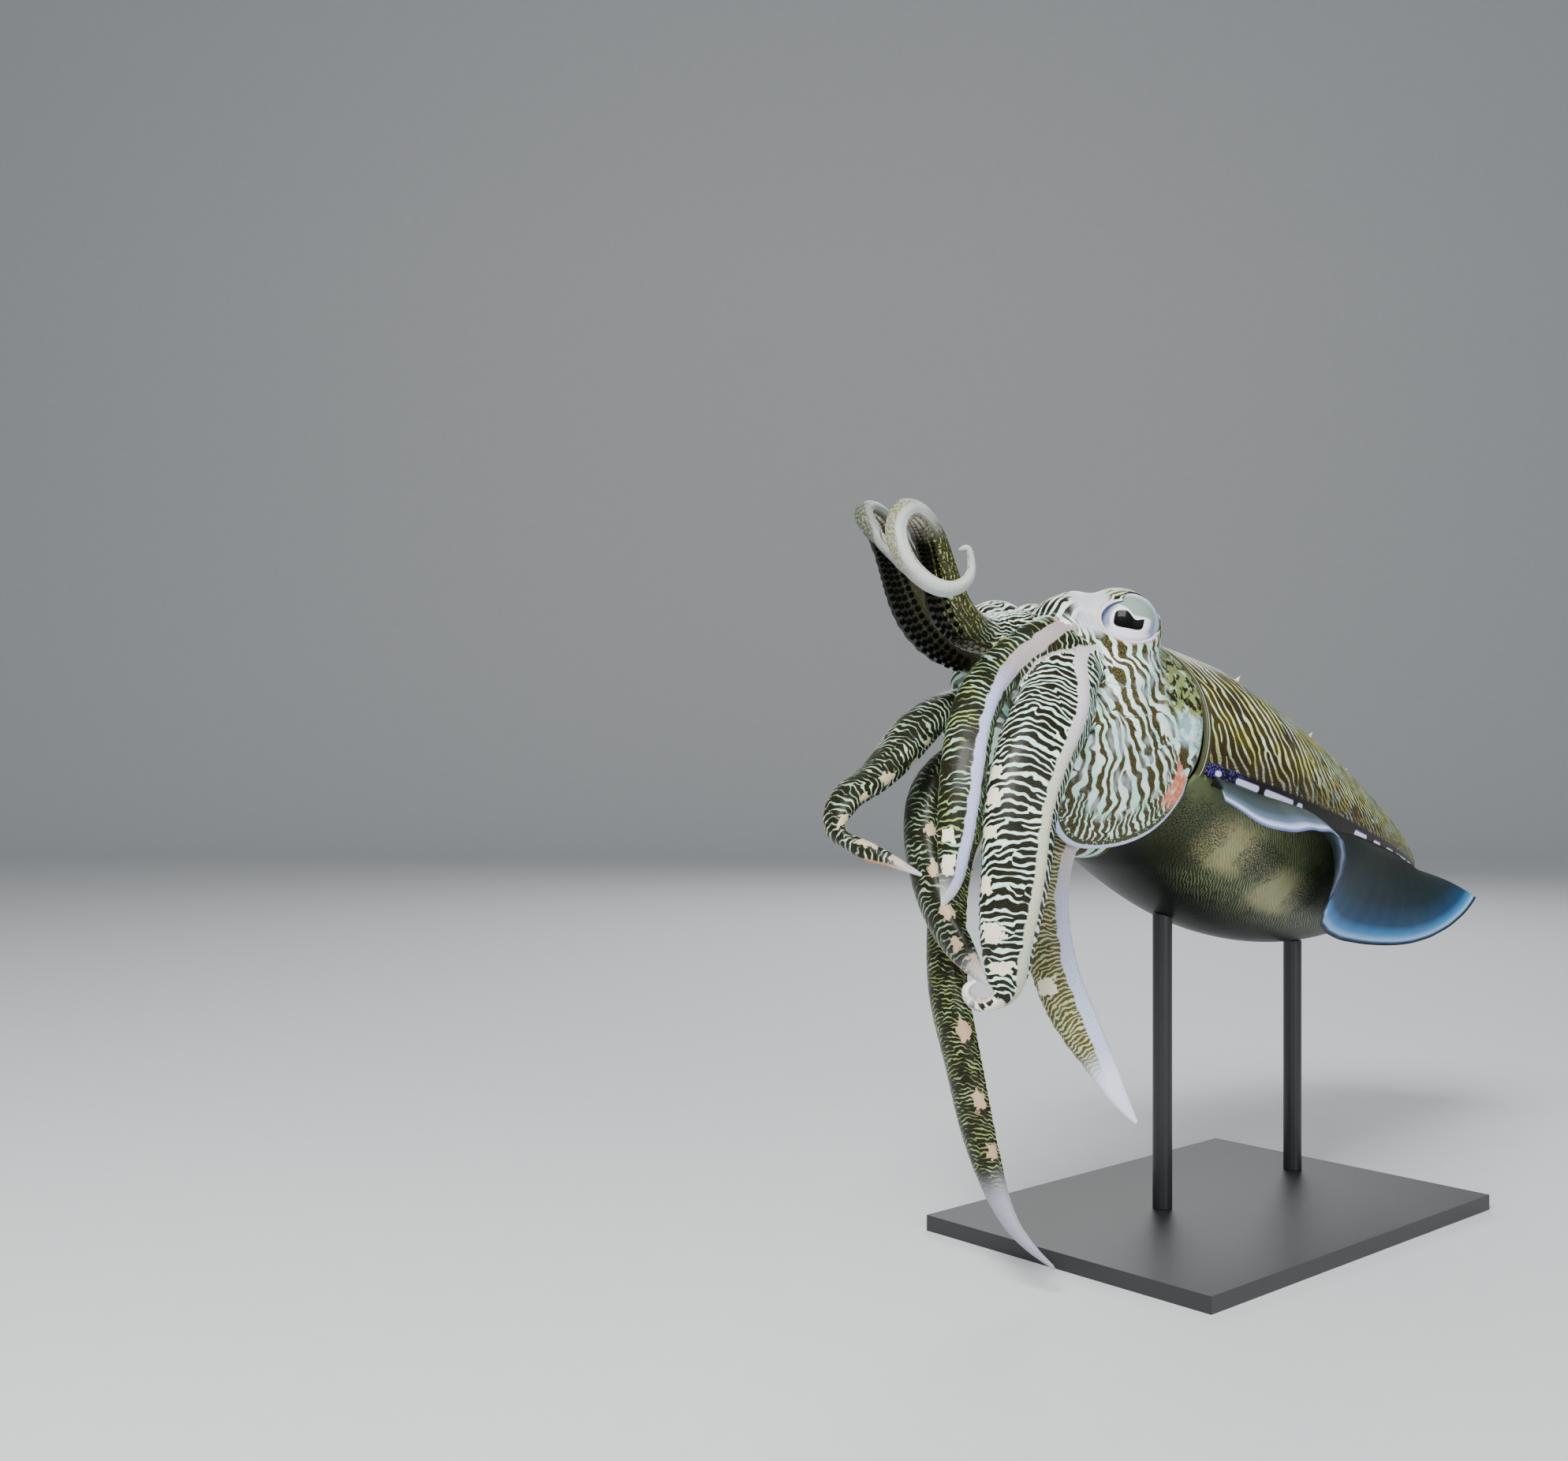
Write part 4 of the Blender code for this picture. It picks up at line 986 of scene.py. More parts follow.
    def material(self, fin_angle: float) -> bpy.types.Material:
        """Builds the mantle's material.

        The UV map marks gives metres back and round, and place gives the share of the length and
        the angle up from the left side in turns.

        Args:
            fin_angle: angle of the fin's root in radians.

        Returns:
            The material.
        """
        skin = Skin("mantle_skin")
        marks = skin.add("UVMap", uv_map="marks")
        place = skin.add("UVMap", uv_map="place")
        share = skin.add("SeparateXYZ", place)
        height = skin.add("SeparateXYZ", place, out=1)
        root = fin_angle / (2 * math.pi)
        upper = skin.between(height, root - 0.004, root + 0.004)
        colour = skin.layers(
            self.front(skin, marks, place, share, height), (upper, self.back(skin, marks, share, height)),
            *self.hem(skin, marks, share, height),
            (skin.all_of(upper, skin.between(share, 0.0085, 0.0060)), "#3A3C22"),
            (skin.all_of(upper, skin.between(share, 0.0014, 0.0009), skin.between(share, -0.0002, 0.0002)),
             "#C9D4CC"))
        return skin.finish(skin.wet(colour, marks))

    def tuft(self) -> bpy.types.Material:
        """Builds the pale skin of the papillae on Object coordinates.

        Returns:
            The material.
        """
        skin = Skin("papilla_skin")
        place = skin.add("TexCoord", out=3)
        colour = skin.layers("#E2E4CE", (skin.speckle(place, MM, 0.45, 0.6), "#A9A878"))
        return skin.finish(skin.wet(colour, place))


@dataclass(frozen=True)
class FinFinish:
    """Skin of the fins: thin translucent web, sRGB colours from the root to the margin."""

    ramp: tuple = (
        (0.0, "#1A2118"), (0.15, "#101C19"), (0.5, "#0B2431"), (0.76, "#154468"), (0.88, "#4690CE"),
        (0.945, "#A4D0F8"), (0.968, "#2A5C92"), (0.985, "#060E18"))
    front: tuple = (
        (0.0, "#1C201C"), (0.4, "#28302C"), (0.72, "#38464A"), (0.86, "#5C6C86"), (0.94, "#C2CCEE"),
        (0.985, "#58649A"))

    def material(self) -> bpy.types.Material:
        """Builds the fin's material; the UV map place gives shares along its root and out.

        Returns:
            The material.
        """
        skin = Skin("fin_web")
        marks = skin.add("UVMap", uv_map="marks")
        place = skin.add("UVMap", uv_map="place")
        along = skin.add("SeparateXYZ", place)
        out = skin.add("SeparateXYZ", place, out=1)
        rear = skin.add("ValToRGB", out, stops=self.ramp)
        ahead = skin.add("ValToRGB", out, stops=self.front)
        rays = skin.add("VectorMath", marks, (1.0, 0.06, 1.0), operation="MULTIPLY")
        rays = skin.add("TexNoise", named={"Vector": rays, "Scale": 800.0, "Detail": 2.0})
        freckle = skin.all_of(skin.speckle(marks, 1.2 * MM, 0.55, 0.64, 2.0), skin.between(out, 0.5, 0.1), 0.5)
        colour = skin.layers(rear, (skin.between(along, 0.50, 0.38), ahead),
                             (skin.all_of(rays, 0.05), "#A8BCC0"), (freckle, "#2A2A1C"))
        shader = skin.wet(colour, marks, 0.15, 0.5, 0.04, 0.18)
        return skin.finish(skin.add("MixShader", 0.07, shader, skin.add("BsdfTranslucent", colour)))


@dataclass(frozen=True)
class EyeFinish:
    """Eye: silvery iris with a dark W-shaped pupil under a clear cornea; sizes in millimetres."""

    pupil_half: tuple = (6.7, 4.0)
    pupil_at: float = 0.8
    dip: tuple = (-1.8, 3.0, 2.6, 3.6)
    lean: float = 0.28

    def iris(self) -> bpy.types.Material:
        """Builds the material of the eyeball.

        The UV map face gives metres ahead and up. The pupil is a rounded box, the fourth powers
        of its shares of the half sizes adding to less than one, cut from above by a bell.

        Returns:
            The material.
        """
        skin = Skin("iris_silver")
        face = skin.add("UVMap", uv_map="face")
        size = skin.add("VectorMath", face, (1000, 1000, 0), operation="MULTIPLY")
        ahead = skin.add("SeparateXYZ", size)
        up = skin.add("SeparateXYZ", size, out=1)
        p = skin.add("Math", ahead, 1 / self.pupil_half[0], -self.pupil_at / self.pupil_half[0],
                     operation="MULTIPLY_ADD")
        q = skin.add("Math", up, 1 / self.pupil_half[1], operation="MULTIPLY")
        box = skin.add("Math", skin.all_of(p, p, p, p), skin.all_of(q, q, q, q), operation="ADD")
        at, wide, depth, top = self.dip
        bell = skin.add("Math", ahead, 1 / wide, -at / wide, operation="MULTIPLY_ADD")
        bell = skin.add("Math", skin.all_of(bell, bell, -1.0), operation="EXPONENT")
        lip = skin.add("Math", bell, -depth, top, operation="MULTIPLY_ADD")
        lip = skin.add("Math", ahead, self.lean, lip, operation="MULTIPLY_ADD")
        above = skin.add("Math", up, lip, operation="SUBTRACT")
        pupil = skin.all_of(skin.between(box, 1.15, 0.9), skin.between(above, 0.25, -0.05))
        radius = skin.add("VectorMath", size, out=1, operation="LENGTH")
        fine = skin.add("TexNoise", named={"Vector": size, "Scale": 1.2, "Detail": 4.0})
        colour = skin.layers(
            # slate ring from 8 to 10 mm out: painted shade of the eyeball's curving sides
            "#DDE1EA", (skin.between(radius, 8.0, 10.0), "#7C8AA8"),
            (skin.between(radius, 10.8, 12.4), "#B7BFD2"),
            (skin.all_of(skin.between(up, -2.6, -6.0), skin.between(radius, 13.0, 9.5)), "#F2F3F4"),
            (skin.all_of(skin.between(above, 0.9, 1.4), skin.between(up, 2.0, 2.8),
                         skin.between(radius, 12.4, 11.0)), "#7F9284"),
            (skin.all_of(skin.between(box, 2.6, 1.6), skin.between(above, 1.0, 0.6)), "#F4F1E8"),
            (skin.all_of(fine, 0.25), "#9DA4B0"), (pupil, "#030304"))
        return skin.finish(skin.add("BsdfPrincipled", named={
            "Base Color": colour, "Roughness": 0.5, "IOR": 1.3, "Specular IOR Level": 0.15,
            "Coat Weight": 0.2, "Coat Roughness": 0.04, "Coat IOR": WATER_IOR}))


@dataclass(frozen=True)
class StandFinish:
    """Powder-coated steel: a fine orange-peel surface with a low sheen."""

    colour: str = "#1D1E20"

    def material(self) -> bpy.types.Material:
        """Builds the stand's material on Object coordinates.

        Returns:
            The material.
        """
        paint = Skin("powder_coated_steel")
        place = paint.add("TexCoord", out=3)
        grain = paint.add("TexNoise", named={"Vector": place, "Scale": 1400.0, "Detail": 2.0})
        tone = paint.add("MixRGB", grain, self.colour, "#26272A")
        normal = paint.add("Bump", named={"Height": grain, "Strength": 0.25, "Distance": 0.0002})
        return paint.finish(paint.add("BsdfPrincipled", named={
            "Base Color": tone, "Roughness": 0.42, "Normal": normal, "Coat Weight": 0.1}))


def sucker_material(finish: ArmFinish, name: str) -> bpy.types.Material:
    """Rubbery skin of an arm's suckers; on a raised arm they are as dark as its column.

    Args:
        finish: the arm's finish.
        name: the material's name.

    Returns:
        The material.
    """
    skin = Skin(name)
    place = skin.add("TexCoord", out=3)
    share = skin.add("Attribute", out=2, attribute_name="share")
    pale = skin.add("MixRGB", skin.speckle(place, 2.5 * MM, 0.4, 0.65), finish.cup, "#A8997C")
    raised = skin.all_of(skin.between(share, *finish.column), skin.between(share, *finish.tip_from[::-1]))
    return skin.finish(skin.wet(skin.layers(pale, (raised, "#0B0B06")), place, 0.15, 0.8, 0.0, 0.1))


@dataclass
class Arm:
    """One arm, smooth from its root in the head to its tip, with its suckers.

    The tables are those of the CAD source: the root in head axes, the route and the directions
    of the oral side in level axes, all in millimetres.
    """

    name: str
    root: tuple
    route: tuple
    oral: tuple
    curl_from: float
    starts: float
    finish: ArmFinish
    depth: float = 0.62
    fuse: float = 0.0
    membrane: float = 0.16
    samples: int = 400
    sides: int = 40
    ring_gap: float = 1.8
    girth: float = 0.9
    sucker_rows: tuple = (-0.48, -0.16, 0.16, 0.48)
    sucker_size: float = 0.12
    sucker_least: float = 0.34
    sucker_gap: float = 2.5
    cup: tuple = ((0.72, -0.9), (0.74, 0.25), (1.0, 0.55), (0.98, 0.85), (0.70, 0.92), (0.40, 0.45))
    cup_floor: float = 0.42

    def frames(self) -> dict:
        """Centres, directions and half widths along the arm, evenly spaced.

        The centre line is the natural cubic through the root and the route. The oral side blends
        from its first to its second direction over the first third, turns to the inside of the
        curl past curl_from, and is made square to the line and evened out.

        Returns:
            Arrays centre, along, oral, across, wide and far, the distance from the root.
        """
        root = (*from_head(self.root[:3]), self.root[3])
        rows = curve_through(np.array([root, *self.route], float), self.samples)
        centre = rows[:, :3]
        last = self.samples - 1
        i = np.arange(self.samples)
        along = unit(centre[np.minimum(i + 1, last)] - centre[np.maximum(i - 1, 0)])
        share = i[:, None] / last
        base, middle = (unit(np.array(way, float)) for way in self.oral)
        oral = base + (middle - base) * np.clip(share / 0.35, 0, 1)
        bend = (centre[np.maximum(i - 12, 0)] + centre[np.minimum(i + 12, last)]) / 2 - centre
        weight = np.clip((share - self.curl_from) / 0.08, 0, 1)
        oral = unit(oral) * (1 - weight) + unit(bend) * weight
        oral = unit(oral - along * np.sum(oral * along, axis=1, keepdims=True))
        total = np.cumsum(np.concatenate([np.zeros((1, 3)), oral]), axis=0)
        oral = total[np.minimum(i + 11, self.samples)] - total[np.maximum(i - 10, 0)]
        oral = unit(oral - along * np.sum(oral * along, axis=1, keepdims=True))
        far = np.concatenate([[0], np.cumsum(np.linalg.norm(np.diff(centre, axis=0), axis=1))])
        return {"centre": centre, "along": along, "oral": oral, "across": np.cross(along, oral),
                "wide": np.maximum(rows[:, 3], 0.6), "far": far}

    def at(self, frames: dict, places: np.ndarray) -> dict:
        """Frames read at distances along the arm, by straight interpolation.

        Args:
            frames: the arm's frames.
            places: distances from its root in millimetres.

        Returns:
            Arrays centre, along, oral, across and wide at those places.
        """
        out = {}
        for key in ("centre", "along", "oral", "across"):
            columns = [np.interp(places, frames["far"], frames[key][:, d]) for d in range(3)]
            out[key] = np.stack(columns, -1)
        for key in ("along", "oral", "across"):
            out[key] = unit(out[key])
        out["wide"] = np.interp(places, frames["far"], frames["wide"])
        return out

    def shell(self) -> Shell:
        """The arm's surface.

        A point is the centre plus the half width times: across by minus the sine of the turn,
        and away from the oral side by the depth and the cosine of the turn, flatter by 0.72 on
        the oral side. A low keel and two scalloped webs beside the suckers stand on it as bells
        of the turn.

        Returns:
            The closed shell with the UV maps marks and place.
        """
        frames = self.frames()
        far = frames["far"]
        length = far[-1]
        gap = np.clip(frames["wide"] * 0.22, 0.35, self.ring_gap)
        density = np.concatenate([[0], np.cumsum(np.diff(far) / gap[1:])])
        count = int(density[-1]) + 1
        places = np.interp(np.linspace(0, density[-1], count), density, far)
        f = self.at(frames, places)
        turn = np.linspace(-math.pi, math.pi, self.sides + 1)[None]
        share = (places / length)[:, None]
        toward = smooth(np.sin(turn) * np.sign(self.fuse), -0.3, 0.8)
        wide = f["wide"][:, None] * (1 + abs(self.fuse) * hill(share, 0.25, 0.2) * toward)
        lift = np.cos(turn) * np.where(np.cos(turn) > 0, 1, 0.72)
        free = smooth(places, self.starts * 0.5, self.starts)[:, None]
        ridge = 0.13 * hill(turn, self.finish.keel_at(share), 0.24) * free * (1 - smooth(share, 0.85, 1.0))
        scallop = 1 + 0.22 * np.sin(2 * math.pi * places[:, None] / np.maximum(wide * 0.55, 1.2))
        webs = hill(np.abs(turn), math.pi - 1.02, 0.14) * self.membrane * scallop
        ridge = ridge + webs * free * (1 - smooth(share, 0.93, 1.0))
        ripple = 0.012 * np.sin(places[:, None] * 0.9 + 3 * np.sin(turn)) * np.cos(turn * 2)
        grow = 1 + ridge + ripple
        reach = wide * grow
        points = (f["centre"][:, None] - f["across"][:, None] * (reach * np.sin(turn))[..., None]
                  - f["oral"][:, None] * (reach * self.depth * lift)[..., None])
        grid = points.shape[:2]
        marks = spread(grid, turn * wide * self.girth * MM, places[:, None] * MM)
        place = spread(grid, turn / (2 * math.pi) + 0.5, share)
        blunt = f["along"][-1] * f["wide"][-1] * 0.7
        ends = (f["centre"][0] - f["along"][0] * 4, f["centre"][-1] + blunt)
        shell = tube(points[:, :-1], {"marks": marks, "place": place, "side": place * 0}, ends)
        local = np.concatenate([np.repeat(f["wide"], self.sides), f["wide"][[0, -1]]])
        shell.values["wide"] = local * self.girth * MM
        shell.values["rim"] = np.full(len(shell.points), AWAY_FROM_RIM)
        return shell

    def suckers(self) -> bpy.types.Object:
        """The arm's suckers in four rows, each a small turned cup of six rings and ten sides.

        A row stands at its sine of the turn from the middle of the oral side, a sucker's radius is
        a share of the arm's half width there, and its axis leans outwards with its row.

        Returns:
            The suckers as one object with the attribute share.
        """
        frames = self.frames()
        length = frames["far"][-1]
        rows, places, radii = [], [], []
        for row in self.sucker_rows:
            place = self.starts * 0.8 + 2.0 * abs(row)
            while place < length - 0.8:
                wide = float(np.interp(place, frames["far"], frames["wide"]))
                rows.append(row)
                places.append(place)
                radii.append(max(self.sucker_size * wide, self.sucker_least))
                place += self.sucker_gap * radii[-1]
        f = self.at(frames, np.array(places))
        row, radii, share = np.array(rows)[:, None], np.array(radii)[:, None], np.array(places) / length
        skin = 0.72 * self.depth * np.sqrt(1 - row * row)
        centres = f["centre"] + f["wide"][:, None] * (f["across"] * row + f["oral"] * (skin - 0.02))
        aims = unit(f["oral"] + f["across"] * row * 0.7)
        turn = np.linspace(0, 2 * math.pi, 10, endpoint=False)[:, None]
        second = np.cross(aims, f["along"])
        ring = np.cross(second, aims)[:, None] * np.cos(turn) + second[:, None] * np.sin(turn)
        out, up = np.array(self.cup).T[..., None, None]
        points = ring[:, None] * out + aims[:, None, None] * up
        points = centres[:, None, None] + radii[..., None, None] * points
        shell = stacks(points, centres + aims * self.cup_floor * radii, centres + aims * self.cup[0][1] * radii)
        around = points.shape[1] * points.shape[2]
        shell.values["share"] = np.concatenate([np.repeat(share, around), share, share])
        finish = sucker_material(self.finish, self.name + "_suckers")
        return make_object("suckers_" + self.name, shell, [finish])


ARMS = (
    Arm("arm_1_left", (50, 12, 36, 12.5),
        ((0.4, -33, 24, 11.9), (-0.6, -61, 22, 11.3), (0, -78, 32, 10.8), (-2, -84, 51, 8.3), (-2, -93, 68, 7.2),
         (0, -105, 74, 5.7), (3, -115, 66, 5.3), (9, -116, 53, 5.0), (17, -112, 43, 4.6), (25, -106, 39, 4.0),
         (30, -100, 43, 3.0), (31, -99, 51, 2.0), (30, -101, 56, 1.3), (28, -103, 55, 0.7)),
        ((0, 0.2, -1), (0, -1, -0.2)), 0.50, 42,
        ArmFinish(across=0.2, period=2.4, column=(0.22, 0.34), column_pale="#8A9258", tip="#B4BABA",
                  tip_two="#6E6C46", oral="#14120A", tip_from=(0.52, 0.62), keel_ends=(0.14, 0.24),
                  keel_top="#A98C7A", keel=(0.3, 0.2, 0.2), cup="#D9D6CC", seed=1.1), 0.85),
    Arm("arm_1_right", (50, -10, 34, 12.5),
        ((-26, -22, 14, 12.2), (-35, -40, 19, 12.6), (-41, -57, 36, 12.2), (-42, -69, 58, 10.2),
         (-40, -83, 74, 7.4), (-34, -96, 78, 5.0), (-28, -104, 74, 4.2), (-19, -104, 64, 3.9),
         (-7, -101, 52, 3.4), (5, -96, 42, 2.4), (13, -91, 36, 0.7)),
        ((0, 0.2, -1), (0.1, -1, -0.2)), 0.52, 42,
        ArmFinish(across=0.2, period=2.4, column=(0.06, 0.18), column_pale="#3C3E28", tip="#8E9490",
                  tip_two="#44462C", oral="#0E0D07", tip_from=(0.54, 0.62), keel=(0.9, 0.9, 0.9), seed=2.3),
        0.85),
    Arm("arm_2_left", (50, 27, 28, 12.0),
        ((22.8, -37.7, 20.4, 10.9), (16.2, -59.2, 9.3, 9.9), (19.6, -84, -11, 10), (27, -99, -35, 10.0),
         (30, -106, -58, 8.8), (30, -109, -76, 6.6), (27, -109, -88, 3.6), (24, -109, -94, 0.8)),
        ((-0.5, 0.4, -0.8), (-0.5, 0.85, 0)), 2.0, 49,
        # painted shade: pale colours darkened and dark share raised because this arm lies in shade
        ArmFinish(pale="#93A95C", pale_two="#9CCBAC", dark_share=0.78, keel=(0.45, -0.3, -0.82),
                  keel_top="#A89C9A", keel_half=(3.2, 2.7), keel_colour="#B4B8DE",
                  patches=((0.55, 0.838, 0.05, 0.016), (0.525, 0.899, 0.07, 0.02)), seed=3.7), fuse=-0.26),
    Arm("arm_2_right", (50, -27, 20, 12.5),
        ((-35, -9, 1, 13.2), (-37, -43, -11, 12.9), (-36, -71, -28, 11.4), (-35, -94, -44, 9.4),
         (-35, -111, -54, 7.8), (-32, -117, -64, 6.0), (-19, -115, -72, 4.4), (-7, -109, -77, 3.1),
         (4, -101, -83, 0.7)),
        ((0.5, 0.5, -0.7), (-0.1, 0.95, -0.3)), 0.72, 42,
        # painted shade: pale colours darkened and dark share raised because this arm lies behind, in shade
        ArmFinish(pale="#94B296", pale_two="#B2D0B2", keel=(1.15, 1.15, 1.15), keel_colour="#A47C60",
                  keel_half=(1.2, 1.2), patch="#C6B794", dark_share=0.78, seed=4.9,
                  patches=((0.25, 0.393, 0.035, 0.012), (0.175, 0.464, 0.04, 0.012),
                           (0.30, 0.555, 0.055, 0.022), (0.27, 0.645, 0.05, 0.016), (0.275, 0.744, 0.09, 0.022),
                           (0.275, 0.854, 0.11, 0.026), (0.40, 0.935, 0.15, 0.02)))),
    Arm("arm_3_left", (48, 36, 26, 13.5),
        ((26.8, -22.3, 12.2, 14.2), (37.4, -47.2, -9.8, 14.3), (44.2, -70, -31, 15.0), (46, -84, -55, 15.0),
         (47, -89, -81, 14.2), (45, -91, -104, 12.4), (43, -90, -122, 9.2), (41, -92, -132, 6.6),
         (37, -98, -135, 4.9), (34, -103, -133, 3.9), (34, -105, -128, 2.6), (37, -103, -125, 1.0)),
        ((-0.7, 0.5, -0.6), (-0.72, 0.69, 0)), 0.84, 40,
        ArmFinish(period=3.3, dark_share=0.66, keel=(0.05, -0.55, -0.66), keel_half=(3.0, 2.5),
                  keel_colour="#C4C8AC", keel_top="#CFC9CE", tip="#E4E6E4", tip_two="#C8C6B0",
                  tip_from=(0.93, 0.98), seed=5.3,
                  patches=((0.70, 0.474, 0.05, 0.010), (0.67, 0.516, 0.045, 0.012), (0.67, 0.574, 0.05, 0.010),
                           (0.68, 0.674, 0.05, 0.018), (0.61, 0.757, 0.07, 0.018), (0.56, 0.823, 0.08, 0.014),
                           (0.60, 0.905, 0.12, 0.016))), fuse=0.42),
    Arm("arm_3_right", (48, -34, 2, 12.5),
        ((-38, -6, -18, 12.7), (-41, -39, -39, 12.6), (-36, -59, -66, 12.4), (-25, -66, -87, 11.4),
         (-13, -69, -106, 9.5), (-1, -69, -119, 7.6), (7, -69, -127, 4.2), (12, -68, -132, 1.0)),
        ((0.5, 0.6, 0.2), (0.35, 0.94, 0)), 2.0, 52,
        # painted shade: pale colours darkened and dark share raised because this arm lies behind, in shade
        ArmFinish(pale="#7A9678", pale_two="#9CB896", keel=(1.1, 1.1, 1.1), keel_colour="#A86E50",
                  keel_half=(1.2, 1.5), patch="#C2AA8A", dark_share=0.83, seed=6.1,
                  patches=((0.275, 0.540, 0.05, 0.02), (0.30, 0.659, 0.06, 0.02), (0.30, 0.788, 0.08, 0.02),
                           (0.42, 0.874, 0.06, 0.018), (0.325, 0.956, 0.16, 0.03)))),
    Arm("arm_4_left", (44, 30, -12, 15.0),
        ((24, -6, -26, 14.5), (28, -24, -46, 12.0), (28, -39, -70, 9.0), (29, -47, -92, 9.0),
         (31, -49, -112, 10.0), (36, -48, -131, 10.0), (45, -44, -151, 8.8), (52, -39, -166, 6.3),
         (59, -34, -181, 3.7), (64, -30, -190, 0.8)),
        ((-0.6, 0.5, 0.3), (-0.8, 0.6, 0)), 2.0, 48,
        ArmFinish(pale="#A9B88E", pale_two="#BDB992", dark="#3E3A1A", dark_two="#6E6438", period=1.9,
                  dark_share=0.6, keel=(-0.9, -0.9, -0.95), keel_half=(5.0, 6.0), keel_colour="#BCC4DE",
                  keel_top="#C6BCB0", patches=((0.62, 0.646, 0.085, 0.020),), tip="#DCE0F2", tip_two="#B9BBC4",
                  tip_from=(0.80, 0.90), seed=7.7)),
    Arm("arm_4_right", (40, -24, -22, 14.5),
        ((-36, 0, -48, 14.0), (-42, -24, -79, 13.4), (-38, -40, -112, 12.5), (-29, -48, -143, 12.4),
         (-18, -51, -171, 11.2), (-9, -52, -198, 10.3), (1, -52, -223, 7.8), (10, -49, -242, 4.6),
         (19, -44, -253, 2.5), (26, -39, -260, 0.7)),
        ((0.5, 0.6, 0.4), (0.25, 0.97, 0)), 2.0, 80,
        # painted shade: pale colours darkened and dark share raised because this far arm lies in shade
        ArmFinish(pale="#7E8C4E", pale_two="#98AE76", dark="#0C0D06", dark_two="#2A2811", period=2.0,
                  dark_share=0.79, keel=(1.2, 1.2, 1.2), keel_half=(1.6, 2.2), keel_colour="#9A98B0",
                  patch="#BCA083",
                  patches=((0.31, 0.564, 0.06, 0.018), (0.30, 0.682, 0.07, 0.016), (0.275, 0.773, 0.07, 0.014)),
                  tip="#A5A4B4", tip_two="#69664F", tip_from=(0.79, 0.86), seed=8.3)),
)


